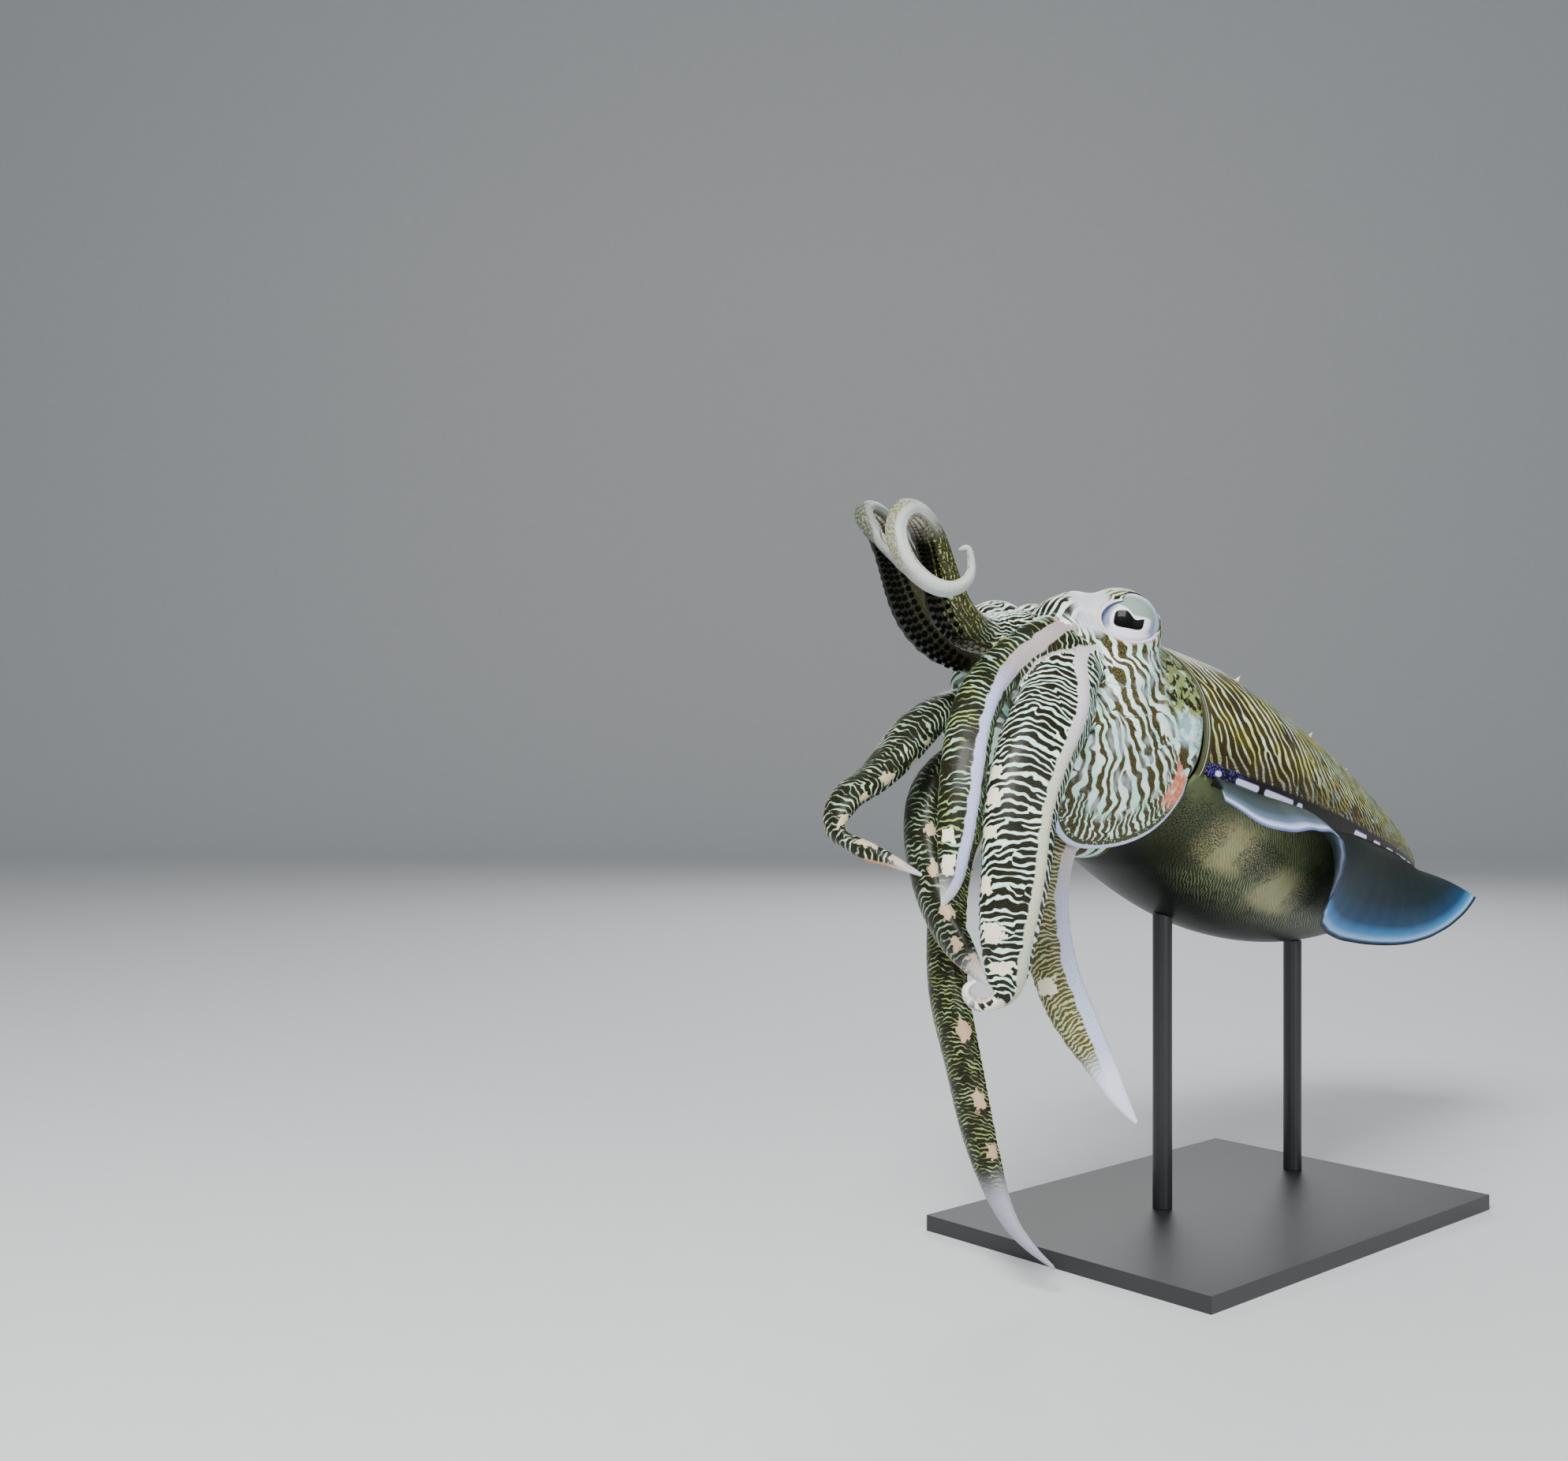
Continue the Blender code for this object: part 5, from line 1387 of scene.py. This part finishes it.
@dataclass
class Head:
    """Head with its lids, flaps, mouth and funnel, and the arms grown out of it."""

    rings: tuple = (
        (-6.7, 0, 50, 41, 39), (1.6, 0, 56.0, 46, 42), (12, 1, 57, 50, 42), (26, 3, 56, 53, 42),
        (40, 4, 53, 51, 43), (49, 3, 45, 43, 38), (56, 2, 34, 32, 29), (60.5, 1, 24, 22, 20),
        (62, 1, 18, 17, 15.5), (60, 1, 13.5, 12.5, 11.5), (54, 1, 9, 8.5, 8),
    )
    flap_centre: tuple = (38.0, -15.0)
    flap_back: tuple = (
        (95, 12), (120, 16), (149, 27), (168, 34.5), (188, 36.6), (213, 36), (243, 38), (271, 43.5),
        (287, 49.5),
    )
    flap_left: tuple = ((303, 57), (318, 59), (332, 54), (347, 43), (365, 33), (392, 25))
    flap_right: tuple = ((303, 54), (320, 45), (333, 29))
    flap_out: float = 56.5
    flap_edge: float = 1.8
    flap_root: float = 15.0
    lid_radius: float = 21.4
    neck_lean: tuple = (2.5, 14.0)
    pole: tuple = (96.0, 66.0)
    fillings: tuple = (
        (42, 33, 20, 24), (64, 24, 33, 19), (56, 34, -4, 16), (70, 8, 33, 14.5), (59, 24, 38, 17.2),
        (42, 31, 4, 24.5), (38, 33.2, -9.5, 24), (70, 43.5, -7, 10),
        (42, -33, 20, 24), (64, -24, 33, 19), (56, -34, -4, 16), (59, -24, 38, 17.2),
        (42, -31, 4, 24.5), (38, -33.2, -9.5, 24),
    )
    funnel_rings: tuple = (
        (2, -49, 17, 10), (18, -50.5, 17, 11), (34, -54, 14, 9.5), (48, -59, 10.5, 8), (56, -62, 8.5, 7),
        (56.6, -62, 7.6, 6.1), (55.4, -62, 6.6, 5.1), (47, -60, 5.3, 3.8),
    )
    fan_radius: float = 65.0
    join_relaxing: tuple = (0.009, 26)
    lid_relaxing: tuple = (0.0022, 6)
    socket_gap: float = 0.7

    def lay_marks(self, shell: Shell) -> None:
        """Adds the UV maps marks, side and place to a shell of the head, from its points.

        marks gives metres out from a pole above and ahead of the eye and, at fan_radius from it,
        metres round it, so that stripes fan out over the cheek. side gives metres ahead and up,
        and place gives metres ahead and to the left, all in head axes.

        Args:
            shell: a shell in level millimetres.
        """
        local = (shell.points - RIM_FROM_CROWN) @ HEAD_AXES.T
        x, z = local[:, 0] - self.pole[0], local[:, 2] - self.pole[1]
        marks = np.stack([np.hypot(x, z), np.arctan2(x, -z) * self.fan_radius], -1) * MM
        maps = {"marks": marks, "side": local[:, [0, 2]] * MM, "place": local[:, [0, 1]] * MM}
        for faces, store in ((shell.quads, shell.corners), (shell.triangles, shell.tips)):
            for key, values in maps.items():
                store[key] = values[faces]
        shell.values.setdefault("rim", np.full(len(shell.points), AWAY_FROM_RIM))
        shell.values["wide"] = np.full(len(shell.points), 0.01)

    def skull(self) -> Shell:
        """The head's loft: rounded rings a little squarer than ovals, smooth along its length.

        Returns:
            The closed shell.
        """
        rows = curve_through(np.array([(r[0], r[2], 0, r[1], r[3], r[4]) for r in self.rings], float), 130)
        turn = np.linspace(0, 2 * math.pi, 160, endpoint=False)[None]
        c, s = np.cos(turn), np.sin(turn)
        c, s = np.sign(c) * np.abs(c) ** 0.9, np.sign(s) * np.abs(s) ** 0.9
        x, wide, middle = (rows[:, k][:, None] for k in (0, 1, 3))
        height = np.where(s > 0, rows[:, 4][:, None], rows[:, 5][:, None])
        lean = self.neck_lean[0] * np.clip(1 - x / self.neck_lean[1], 0, 1)
        points = np.stack([x + 0 * c, wide * c + lean, height * s + middle], -1)
        shell = tube(from_head(points), {})
        self.lay_marks(shell)
        return shell

    def flap(self, side: Side) -> Shell:
        """A cheek flap: each angle has a closed section out along its outer face and back inside.

        The outer face lies flap_out from the middle less a bow of squares of height and length.
        The inner face is set in by the flap's thickness, which grows to flap_root at the middle.

        Args:
            side: the side of the head.

        Returns:
            The closed shell.
        """
        front = self.flap_left if side is Side.LEFT else self.flap_right
        table = np.array(self.flap_back + front, float)
        angles = np.linspace(table[0, 0], table[-1, 0], 110)
        outline = curve_through(table[:, [0, 0, 0, 1]] * (1, 0, 0, 1), 900)
        reach = np.interp(angles, outline[:, 0], outline[:, 3])[:, None]
        steps = np.linspace(0.02, 1, 34)
        lap = 8
        round_edge = np.linspace(0, math.pi, lap + 2)[1:-1]
        share = np.concatenate([steps, np.full(lap, 1.0), steps[::-1]])[None]
        face = np.concatenate([np.zeros(34), (1 - np.cos(round_edge)) / 2, np.ones(34)])[None]
        bulge = np.concatenate([np.zeros(34), np.sin(round_edge) * self.flap_edge / 2, np.zeros(34)])[None]
        turn = np.radians(angles)[:, None]
        x = self.flap_centre[0] + (share * reach + bulge) * np.cos(turn)
        z = self.flap_centre[1] + (share * reach + bulge) * np.sin(turn)
        rise, ahead = z - self.flap_centre[1], x - self.flap_centre[0]
        out = self.flap_out - np.where(rise > 0, 0.006, 0.005) * rise ** 2 - 0.002 * ahead ** 2
        thick = self.flap_edge + (self.flap_root - self.flap_edge) * (1 - share ** 2)
        points = np.stack([x, side.value * (out - face * thick), z], -1)
        shell = tube(from_head(points), {})
        covered = np.maximum(smooth(angles, 322, 330), smooth(-angles, -150, -140))[:, None]
        near = reach * (1 - share) * MM + covered * AWAY_FROM_RIM
        shell.values["rim"] = np.concatenate([near.ravel(), (AWAY_FROM_RIM,) * 2])
        self.lay_marks(shell)
        return shell

    def opening(self, side: Side) -> Shell:
        """Oval cutter that opens the lids over an eye, a little wider outward.

        Args:
            side: the side of the head.

        Returns:
            The closed cutter.
        """
        axis = gaze(side)
        first, second = eye_plane(axis)
        reach = np.array((5.0, 12.0, 16.0, 20.0, 26.0))[:, None]
        turn = np.linspace(0, 2 * math.pi, 96, endpoint=False)[None]
        flare = 1 + 0.006 * (reach - 10) + 0.0022 * np.maximum(reach - 14, 0) ** 2
        points = (eye_centre(side) + axis * reach[..., None]
                  + (flare * LID_OPENING[0] * np.cos(turn))[..., None] * first
                  + (flare * LID_OPENING[1] * np.sin(turn))[..., None] * second)
        return tube(points, {})

    def funnel(self) -> Shell:
        """The funnel: an oval tube with a rolled mouth, its bore turned back inside.

        Returns:
            The closed shell.
        """
        rings = np.array(self.funnel_rings, float)
        rows = curve_through(rings[:, [0, 2, 1, 3]], 60)
        turn = np.linspace(0, 2 * math.pi, 56, endpoint=False)[None]
        x, wide, middle, high = (rows[:, k][:, None] for k in range(4))
        points = np.stack([x + 0 * turn, wide * np.cos(turn), middle + high * np.sin(turn)], -1)
        shell = tube(from_head(points), {})
        self.lay_marks(shell)
        return shell

    def build(self, finish: bpy.types.Material) -> bpy.types.Object:
        """Joins head, lids, flaps, funnel and arms into one skin and opens the eyes.

        Args:
            finish: the head's material.

        Returns:
            The skin.
        """
        skin = make_object("skin", self.skull(), [finish], Source.SKULL)
        pieces = [make_object("funnel_form", self.funnel(), [finish], Source.FUNNEL)]
        for side in Side:
            pieces.append(make_object("flap_form", self.flap(side), [finish], Source.FLAP))
            lid = ball(from_head((EYE_AT + LID_FROM_EYE) * (1, side.value, 1)), self.lid_radius, gaze(side))
            self.lay_marks(lid)
            pieces.append(make_object("lid_form", lid, [finish], Source.LID))
        for x, y, z, radius in self.fillings:
            filling = ball(from_head((x, y, z)), radius, gaze(Side.LEFT))
            self.lay_marks(filling)
            pieces.append(make_object("filling_form", filling, [finish], Source.FILLING))
        for number, arm in enumerate(ARMS):
            dress = arm.finish.material(arm.name + "_skin")
            pieces.append(make_object(arm.name + "_form", arm.shell(), [dress], Source.ARM + number))
        combine(skin, pieces, Join.ADD)
        clear_joins(skin.data)
        relax_creases(skin, *self.join_relaxing)
        sockets = [ball(eye_centre(side), EYE_RADIUS + self.socket_gap, gaze(side)) for side in Side]
        for cuts in (sockets, [self.opening(side) for side in Side]):
            for shell in cuts:
                self.lay_marks(shell)
            combine(skin, [make_object("eye_cut", shell, [finish], Source.EYE_CUT) for shell in cuts], Join.CUT)
        relax_creases(skin, *self.lid_relaxing)
        self.place_eyes(skin.data)
        return skin

    def place_eyes(self, mesh: bpy.types.Mesh) -> None:
        """Gives a mesh its attributes eye, eye_ahead and eye_up, in metres.

        They are the distance from the nearer eye's centre and the places ahead and up in the plane
        square to its gaze.

        Args:
            mesh: the skin's mesh.
        """
        points = read_points(mesh) / MM - SHIFT
        away, ahead, up = [], [], []
        for side in Side:
            local = points - eye_centre(side)
            first, second = eye_plane(gaze(side))
            away.append(np.linalg.norm(local, axis=1))
            ahead.append(local @ first)
            up.append(local @ second)
        left = away[0] < away[1]
        for name, values in (("eye", away), ("eye_ahead", ahead), ("eye_up", up)):
            store = mesh.attributes.new(name, "FLOAT", "POINT")
            store.data.foreach_set("value", (np.where(left, *values) * MM).astype(np.float32))


def gaze(side: Side) -> np.ndarray:
    """Outward direction of an eye in level axes."""
    way = (math.sin(EYE_AHEAD), side.value * math.cos(EYE_AHEAD), math.tan(EYE_UP))
    return unit(np.array(way) @ HEAD_AXES)


def eye_plane(axis: np.ndarray) -> tuple:
    """Two directions square to an eye's axis: ahead and up.

    Args:
        axis: the eye's outward direction.

    Returns:
        The two unit directions.
    """
    first = unit(HEAD_AXES[0] - axis * np.dot(HEAD_AXES[0], axis))
    second = np.cross(axis, first)
    return first, second * np.sign(second[2])


def eye_centre(side: Side) -> np.ndarray:
    """Centre of an eye in level millimetres."""
    return from_head(EYE_AT * (1, side.value, 1))


def ball(centre: np.ndarray, radius: float, axis: np.ndarray, front: float = 1.0) -> Shell:
    """A ball about an axis: the radius times sines and cosines of two turns.

    Args:
        centre: its centre in level millimetres.
        radius: its radius in millimetres.
        axis: direction of one pole.
        front: stretch of the half on that pole's side.

    Returns:
        The closed shell.
    """
    low = np.linspace(0, math.pi, 50)[1:-1][:, None, None]
    turn = np.linspace(0, 2 * math.pi, 90, endpoint=False)[None, :, None]
    first, second = eye_plane(axis)
    lift = -np.cos(low) * np.where(np.cos(low) < 0, front, 1.0)
    flat = np.sin(low) * (np.cos(turn) * first + np.sin(turn) * second)
    points = centre + radius * (flat + lift * axis)
    return tube(points, {}, (centre - axis * radius, centre + axis * radius * front))


@dataclass
class Eye:
    """One eyeball under a clear cornea."""

    side: Side

    def build(self, iris: bpy.types.Material) -> bpy.types.Object:
        """The eyeball: a ball about the gaze, a little flatter in front, with the UV map face.

        Args:
            iris: its material.

        Returns:
            The eyeball.
        """
        axis, centre = gaze(self.side), eye_centre(self.side)
        shell = ball(centre, EYE_RADIUS, axis, 0.99)
        face = (shell.points - centre) @ np.array(eye_plane(axis)).T * MM
        shell.corners["face"], shell.tips["face"] = face[shell.quads], face[shell.triangles]
        return make_object(f"eye_{self.side.name.lower()}_ball", shell, [iris])


def ease(value: np.ndarray, front: float, peak: float, at: float, end: float) -> np.ndarray:
    """A section size along the mantle: a quarter sine up to its peak, then a tapering power.

    Args:
        value: shares of the mantle's length.
        front: size at the rim.
        peak: largest size.
        at: share at which it is reached.
        end: power of the taper behind it.

    Returns:
        The sizes in millimetres.
    """
    rising = front + (peak - front) * np.sin(math.pi / 2 * np.clip(value / at, 0, 1))
    share = np.clip((value - at) / (1 - at), 0, 1)
    return np.where(value < at, rising, peak * np.maximum(1 - share ** end, 0) ** 0.8)


@dataclass
class Mantle:
    """The mantle with a rolled front rim, and the two fins along its sides."""

    length: float = 310.0
    wide: tuple = (62.0, 66.0, 0.20, 1.5)
    back: tuple = (52.0, 53.0, 0.15, 1.14)
    belly: tuple = (54.0, 78.0, 0.36, 2.0)
    tail_drop: float = 10.0
    tuck: float = 6.0
    tuck_length: float = 0.06
    rim_wall: float = 3.0
    rim_recess: float = 9.0
    fin_span: tuple = (0.03, 0.985)
    fin_angle: float = math.radians(-8.0)
    fin_root: float = 4.0
    fin_edge: float = 0.9
    fin_bow: float = 4.0
    fin_ripple: tuple = (0.35, 120)
    papillae: tuple = (
        (0.16, 62, 3.0), (0.30, 78, 2.6), (0.42, 64, 3.2), (0.47, 100, 2.6), (0.60, 70, 3.4),
        (0.68, 112, 2.8), (0.80, 74, 3.0), (0.90, 88, 2.6), (0.22, 118, 2.8), (0.36, 132, 2.6),
    )
    cluster: tuple = ((0, 0, 1.0), (0.9, 0.4, 0.5), (0.9, 2.0, 0.42), (0.9, 3.5, 0.55), (0.9, 5.0, 0.45))
    around: float = 60.0
    dashes: tuple = (
        (0.028, 0.042), (0.077, 0.134), (0.149, 0.231), (0.244, 0.262), (0.478, 0.539), (0.579, 0.617),
        (0.658, 0.703), (0.728, 0.812), (0.829, 0.866),
    )
    left_edge: tuple = (
        (0.00, 10, 12, -6), (0.04, 22, 42, -18), (0.11, 24, 47, -10), (0.17, 25, 48, -6), (0.22, 26, 47, -8),
        (0.28, 29, 43, -15), (0.35, 31, 34, -26), (0.43, 32, 20, -37), (0.52, 24, 3, -46), (0.60, 10, -4, -50),
        (0.70, -2, 0, -48), (0.78, -16, 6, -43), (0.86, -31, 9, -34), (0.93, -45, 12, -20), (1.00, -52, 15, -3),
    )
    right_edge: tuple = (
        (0.00, 2, 6, -4), (0.08, 3, 28, -14), (0.20, 2, 46, -14), (0.35, 0, 50, -24), (0.50, -2, 44, -34),
        (0.62, -2, 46, -26), (0.74, -2, 52, -10), (0.84, -6, 52, -6), (0.92, -16, 44, -12), (1.00, -38, 14, -20),
    )

    def section(self, share: np.ndarray) -> tuple:
        """Half width, back height, belly height and middle height at shares of the length."""
        sizes = [ease(share, *size) for size in (self.wide, self.back, self.belly)]
        return (*sizes, -self.tail_drop * share * share)

    def point(self, share: np.ndarray, angle: np.ndarray, inset: float = 0.0) -> np.ndarray:
        """Points of the surface, in body axes: an oval of each section's sizes.

        Below the fins the first stretch is drawn in by tuck times the square of what is left of
        tuck_length, so that the rim lies behind the cheek flap.

        Args:
            share: shares of the length.
            angle: angles up from the left side in radians.
            inset: depth below the surface.

        Returns:
            An array of points.
        """
        wide, back, belly, middle = self.section(share)
        low = smooth(-np.sin(angle), 0.05, 0.5)
        inset = inset + self.tuck * low * np.clip(1 - share / self.tuck_length, 0, 1) ** 2
        height = np.where(np.sin(angle) > 0, back, belly) - inset
        y = (wide - inset) * np.cos(angle)
        return np.stack([-share * self.length + 0 * y, y, height * np.sin(angle) + middle], -1)

    def shell(self) -> Shell:
        """The surface from the recess behind the rim, round the rolled rim, back to the tip.

        Returns:
            The closed shell with the UV maps marks and place and the attribute dash.
        """
        share = 1 - np.linspace(1, 0.12, 190) ** 1.25
        share = np.concatenate([share[share < 0.985], 1 - np.geomspace(0.015, 0.0012, 14)])[:, None]
        turn = np.linspace(-math.pi, math.pi, 193)[None]
        outer = self.point(share, turn)
        lip = np.linspace(0, math.pi, 9)[1:-1]
        front = np.zeros((1, 1))
        inner = [self.point(front, turn, self.rim_wall) - (d, 0, 0) for d in (self.rim_recess, 5, 2)]
        roll = [self.point(front, turn, self.rim_wall * (1 - math.cos(a)) / 2) + (0.8 * math.sin(a), 0, 0)
                for a in lip[::-1]]
        grid = np.concatenate(inner + roll + [outer])
        shares = np.concatenate([np.full(len(inner), -0.01), np.full(len(roll), -0.002), share[:, 0]])
        marks = spread(grid.shape[:2], shares[:, None] * self.length * MM, turn * self.around * MM)
        place = spread(grid.shape[:2], shares[:, None], turn / (2 * math.pi))
        shell = tube(from_body(grid[:, :-1]), {"marks": marks, "place": place})
        ends = np.array(self.dashes)
        apart = np.abs(shares[:, None] - ends.mean(axis=1)) - np.ptp(ends, axis=1) / 2
        near = np.repeat(apart.min(axis=1) * self.length, grid.shape[1] - 1)
        shell.values["dash"] = np.concatenate([near, np.full(len(shell.points) - len(near), 10.0)])
        return shell

    def tufts(self, finish: bpy.types.Material) -> bpy.types.Object:
        """The papillae of the back: at each place a tall cone among four short ones, 48 faces each.

        Args:
            finish: their material.

        Returns:
            The papillae as one object.
        """
        radii, lifts = np.array(((1.0, 0.72, 0.45, 0.22, 0.06), (-0.2, 0.15, 0.45, 0.78, 1.0)))
        turn = np.linspace(0, 2 * math.pi, 8, endpoint=False)[:, None]
        cones = []
        for share, degrees, height in self.papillae:
            at = np.array([(share, degrees), (share + 0.002, degrees), (share, degrees + 1.5)])
            foot, near, side_on = self.point(at[:, :1], np.radians(at[:, 1:]))[:, 0]
            first, second = unit(near - foot), unit(side_on - foot)
            up = unit(np.cross(first, second))
            up = up * np.sign(up @ (foot * (0, 1, 1)))
            ring = first * np.cos(turn) + second * np.sin(turn)
            for aside, lean, size in self.cluster:
                way = unit(up + aside * (first * math.cos(lean) + second * math.sin(lean)))
                out = ring * (radii * 1.5 * (0.55 + 0.45 * size))[:, None, None]
                cones.append(foot + out + way * (lifts * height * size)[:, None, None])
        cones = from_body(np.array(cones))
        shell = stacks(cones, cones[:, -1].mean(axis=1), cones[:, 0].mean(axis=1))
        return make_object("papillae", shell, [finish])

    def edge(self, table: tuple, share: np.ndarray) -> np.ndarray:
        """Offsets of a fin's free edge: its table evened over its neighbours and smoothed.

        Args:
            table: rows of share, ahead, out and up.
            share: shares of the root.

        Returns:
            An array of offsets in body axes.
        """
        rows = np.array(table, float)
        fine = np.linspace(0, 1, 400)
        columns = []
        for d in (1, 2, 3):
            near = [np.interp(np.clip(fine + k * 0.025, 0, 1), rows[:, 0], rows[:, d]) for k in (-1, 0, 1)]
            padded = np.pad(sum(near) / 3, 12, mode="reflect", reflect_type="odd")
            kernel = np.hanning(25)
            line = np.convolve(padded, kernel / kernel.sum(), mode="valid")
            columns.append(np.interp(share, fine, line))
        return np.stack(columns, -1)

    def fin(self, side: Side, finish: bpy.types.Material) -> bpy.types.Object:
        """A fin: from its root line to its free edge, thick at the root and thin outside.

        A point is the middle of the root plus the edge's offset by the share out, with a low bow,
        moved to either face by half the thickness along the web's normal.

        Args:
            side: the side of the mantle.
            finish: the material.

        Returns:
            The fin.
        """
        share = np.linspace(0, 1, 240)[:, None]
        out = np.linspace(-0.06, 1, 46)
        rim = np.linspace(0, math.pi, 7)[1:-1]
        reach = np.concatenate([out, np.full(len(rim), 1.0), out[::-1]])[None]
        lift = np.concatenate([np.ones(len(out)), np.cos(rim), -np.ones(len(out))])[None]
        bulge = np.concatenate([np.zeros(len(out)), np.sin(rim), np.zeros(len(out))])[None]
        place = self.fin_span[0] + (self.fin_span[1] - self.fin_span[0]) * share
        belly = self.section(place)[2]
        half = self.fin_root / 2 * np.minimum(1.0, belly / 30)
        upper, lower = (self.point(place, self.fin_angle + s * half / belly, -0.1) for s in (1, -1))
        table = self.left_edge if side is Side.LEFT else self.right_edge
        offset = self.edge(table, share[:, 0])[:, None]
        wing = np.clip((offset[..., 1] - 5) / 25, 0, 1)
        normal = unit(np.stack([0 * wing, -offset[..., 2], offset[..., 1] + 8], -1))
        bow = self.fin_bow * np.sin(math.pi * np.clip(reach, 0, 1))
        lean = np.stack([0 * wing, 1 - wing, wing], -1)
        points = (upper + lower) / 2 + offset * reach[..., None] + lean * bow[..., None]
        points = points + (upper - lower) / 2 * (lift * (1 - np.clip(reach, 0, 1)) ** 2)[..., None]
        thin = self.fin_edge / 2 * (1.25 - 0.75 * reach)
        points = points + normal * (lift * thin)[..., None]
        points = points + unit(offset) * (bulge * self.fin_edge / 4)[..., None]
        ripple = self.fin_ripple[0] * np.sin(share * self.fin_ripple[1]) * np.clip(reach, 0, 1) ** 2
        points = points + normal * ripple[..., None]
        grid = points * (1, side.value, 1)
        shares = np.broadcast_to(share, grid.shape[:2])
        outs = np.broadcast_to(np.clip(reach, 0, 1), grid.shape[:2])
        wrap = [np.concatenate([a, a[:, :1]], axis=1) for a in (shares, outs)]
        maps = {"place": np.stack(wrap, -1), "marks": np.stack([wrap[0] * 0.3, wrap[1] * 0.05], -1)}
        return make_object(f"fin_{side.name.lower()}_web", tube(from_body(grid), maps), [finish])


@dataclass
class Studio:
    """Camera, a floor that sweeps up behind the model, and soft light."""

    camera_at: tuple = (526.57, -642.33, -20.79)
    azimuth: float = math.radians(48.5)
    lens: float = 40.0
    floor_half: float = 6.0
    sweep_from: float = 2.6
    sweep_radius: float = 1.6
    wall_top: float = 6.0
    lamps: tuple = (
        ("key", (0.45, -1.25, 1.35), 0.7, 50.0), ("fill", (1.6, -0.3, 0.7), 1.2, 11.0),
        ("back", (-1.0, 1.2, 1.2), 1.0, 14.0),
    )
    sky: str = "#DDE2E6"
    sky_strength: float = 0.34

    def build(self) -> None:
        """Places the camera, the floor, the lights and the world."""
        camera = bpy.data.cameras.new("camera")
        camera.lens = self.lens
        camera.sensor_width = 36.0
        camera.clip_start = 0.01
        holder = bpy.data.objects.new("camera", camera)
        bpy.context.scene.collection.objects.link(holder)
        holder.location = (np.array(self.camera_at) + SHIFT) * MM
        holder.rotation_euler = (math.pi / 2, 0, self.azimuth)
        bpy.context.scene.camera = holder
        self.floor()
        for lamp in self.lamps:
            self.lamp(*lamp)
        world = bpy.data.worlds.new("world")
        bpy.context.scene.world = world
        world.use_nodes = True
        background = world.node_tree.nodes["Background"]
        background.inputs["Color"].default_value = linear(self.sky)
        background.inputs["Strength"].default_value = self.sky_strength

    def floor(self) -> None:
        """A wide pale floor of matt painted board, curved up into a wall far behind the model."""
        bend = np.linspace(0, math.pi / 2, 40)
        far = np.concatenate([(-self.floor_half,), self.sweep_from + self.sweep_radius * np.sin(bend),
                              (self.sweep_from + self.sweep_radius,)])
        high = np.concatenate([(0.0,), self.sweep_radius * (1 - np.cos(bend)), (self.wall_top,)])
        ahead = np.array((-math.sin(self.azimuth), math.cos(self.azimuth), 0))
        aside = np.array((math.cos(self.azimuth), math.sin(self.azimuth), 0))
        line = ahead * far[:, None] + np.array((0, 0, 1.0)) * high[:, None]
        points = np.concatenate([line - aside * self.floor_half, line + aside * self.floor_half])
        count = len(far)
        near = np.arange(count - 1)[:, None]
        quads = np.concatenate([near, near + count, near + count + 1, near + 1], axis=1)
        mesh = bpy.data.meshes.new("floor")
        mesh.from_pydata(points.tolist(), [], quads.tolist())
        mesh.shade_smooth()
        paint = Skin("pale_board")
        place = paint.add("TexCoord", out=3)
        grain = paint.add("TexNoise", named={"Vector": place, "Scale": 60.0, "Detail": 3.0})
        tone = paint.add("MixRGB", grain, "#D6D8DA", "#DCDDDE")
        shader = paint.add("BsdfPrincipled", named={"Base Color": tone, "Roughness": 0.7})
        mesh.materials.append(paint.finish(shader))
        obj = bpy.data.objects.new("floor", mesh)
        bpy.context.scene.collection.objects.link(obj)

    def lamp(self, name: str, at: tuple, size: float, power: float) -> None:
        """A square soft light that faces the model's middle.

        Args:
            name: its name.
            at: its place in metres.
            size: its side in metres.
            power: its power in watts.
        """
        light = bpy.data.lights.new(name, "AREA")
        light.size = size
        light.energy = power
        holder = bpy.data.objects.new(name, light)
        bpy.context.scene.collection.objects.link(holder)
        away = np.array(at) - np.array((0, 0, 0.2))
        holder.location = at
        flat = math.hypot(away[0], away[1])
        holder.rotation_euler = (math.atan2(flat, away[2]), 0, math.atan2(away[1], away[0]) + math.pi / 2)


def settle(piece: bpy.types.Object, slot: str, *nodes: str) -> None:
    """Rides a piece on the model's one body and hides the CAD nodes that it stands for.

    Args:
        piece: the finished object.
        slot: not used.
        nodes: the CAD nodes that it takes the place of.
    """
    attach(piece, "root")
    if nodes:
        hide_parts(*nodes)
    LOG.info("%s: %d faces", piece.name, len(piece.data.polygons))


def main() -> None:
    """Builds every piece in order."""
    logging.basicConfig(level=logging.INFO, format="%(name)s %(message)s")
    skin = Head().build(HeadFinish().material())
    lengths = [f"{arm.name}_{part}" for arm in ARMS for part in ("base", "middle", "tip")]
    settle(skin, "head", "head", "funnel", *lengths)
    for arm in ARMS:
        settle(arm.suckers(), "arm")
    iris = EyeFinish().iris()
    for side in Side:
        settle(Eye(side).build(iris), "eye", "eye_" + side.name.lower())
    mantle = Mantle()
    body = make_object("mantle_skin", mantle.shell(), [MantleFinish().material(mantle.fin_angle)])
    settle(body, "mantle", "mantle")
    settle(mantle.tufts(MantleFinish().tuft()), "mantle")
    web = FinFinish().material()
    for side in Side:
        fin = "fin_" + side.name.lower()
        settle(mantle.fin(side, web), "fin", fin + "_front", fin + "_rear")
    coat = StandFinish().material()
    for name in ("stand_base", "stand_rod_front", "stand_rod_rear"):
        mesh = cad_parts[name].data
        mesh.materials.clear()
        mesh.materials.append(coat)
    Studio().build()


if __name__ == "__main__":
    main()
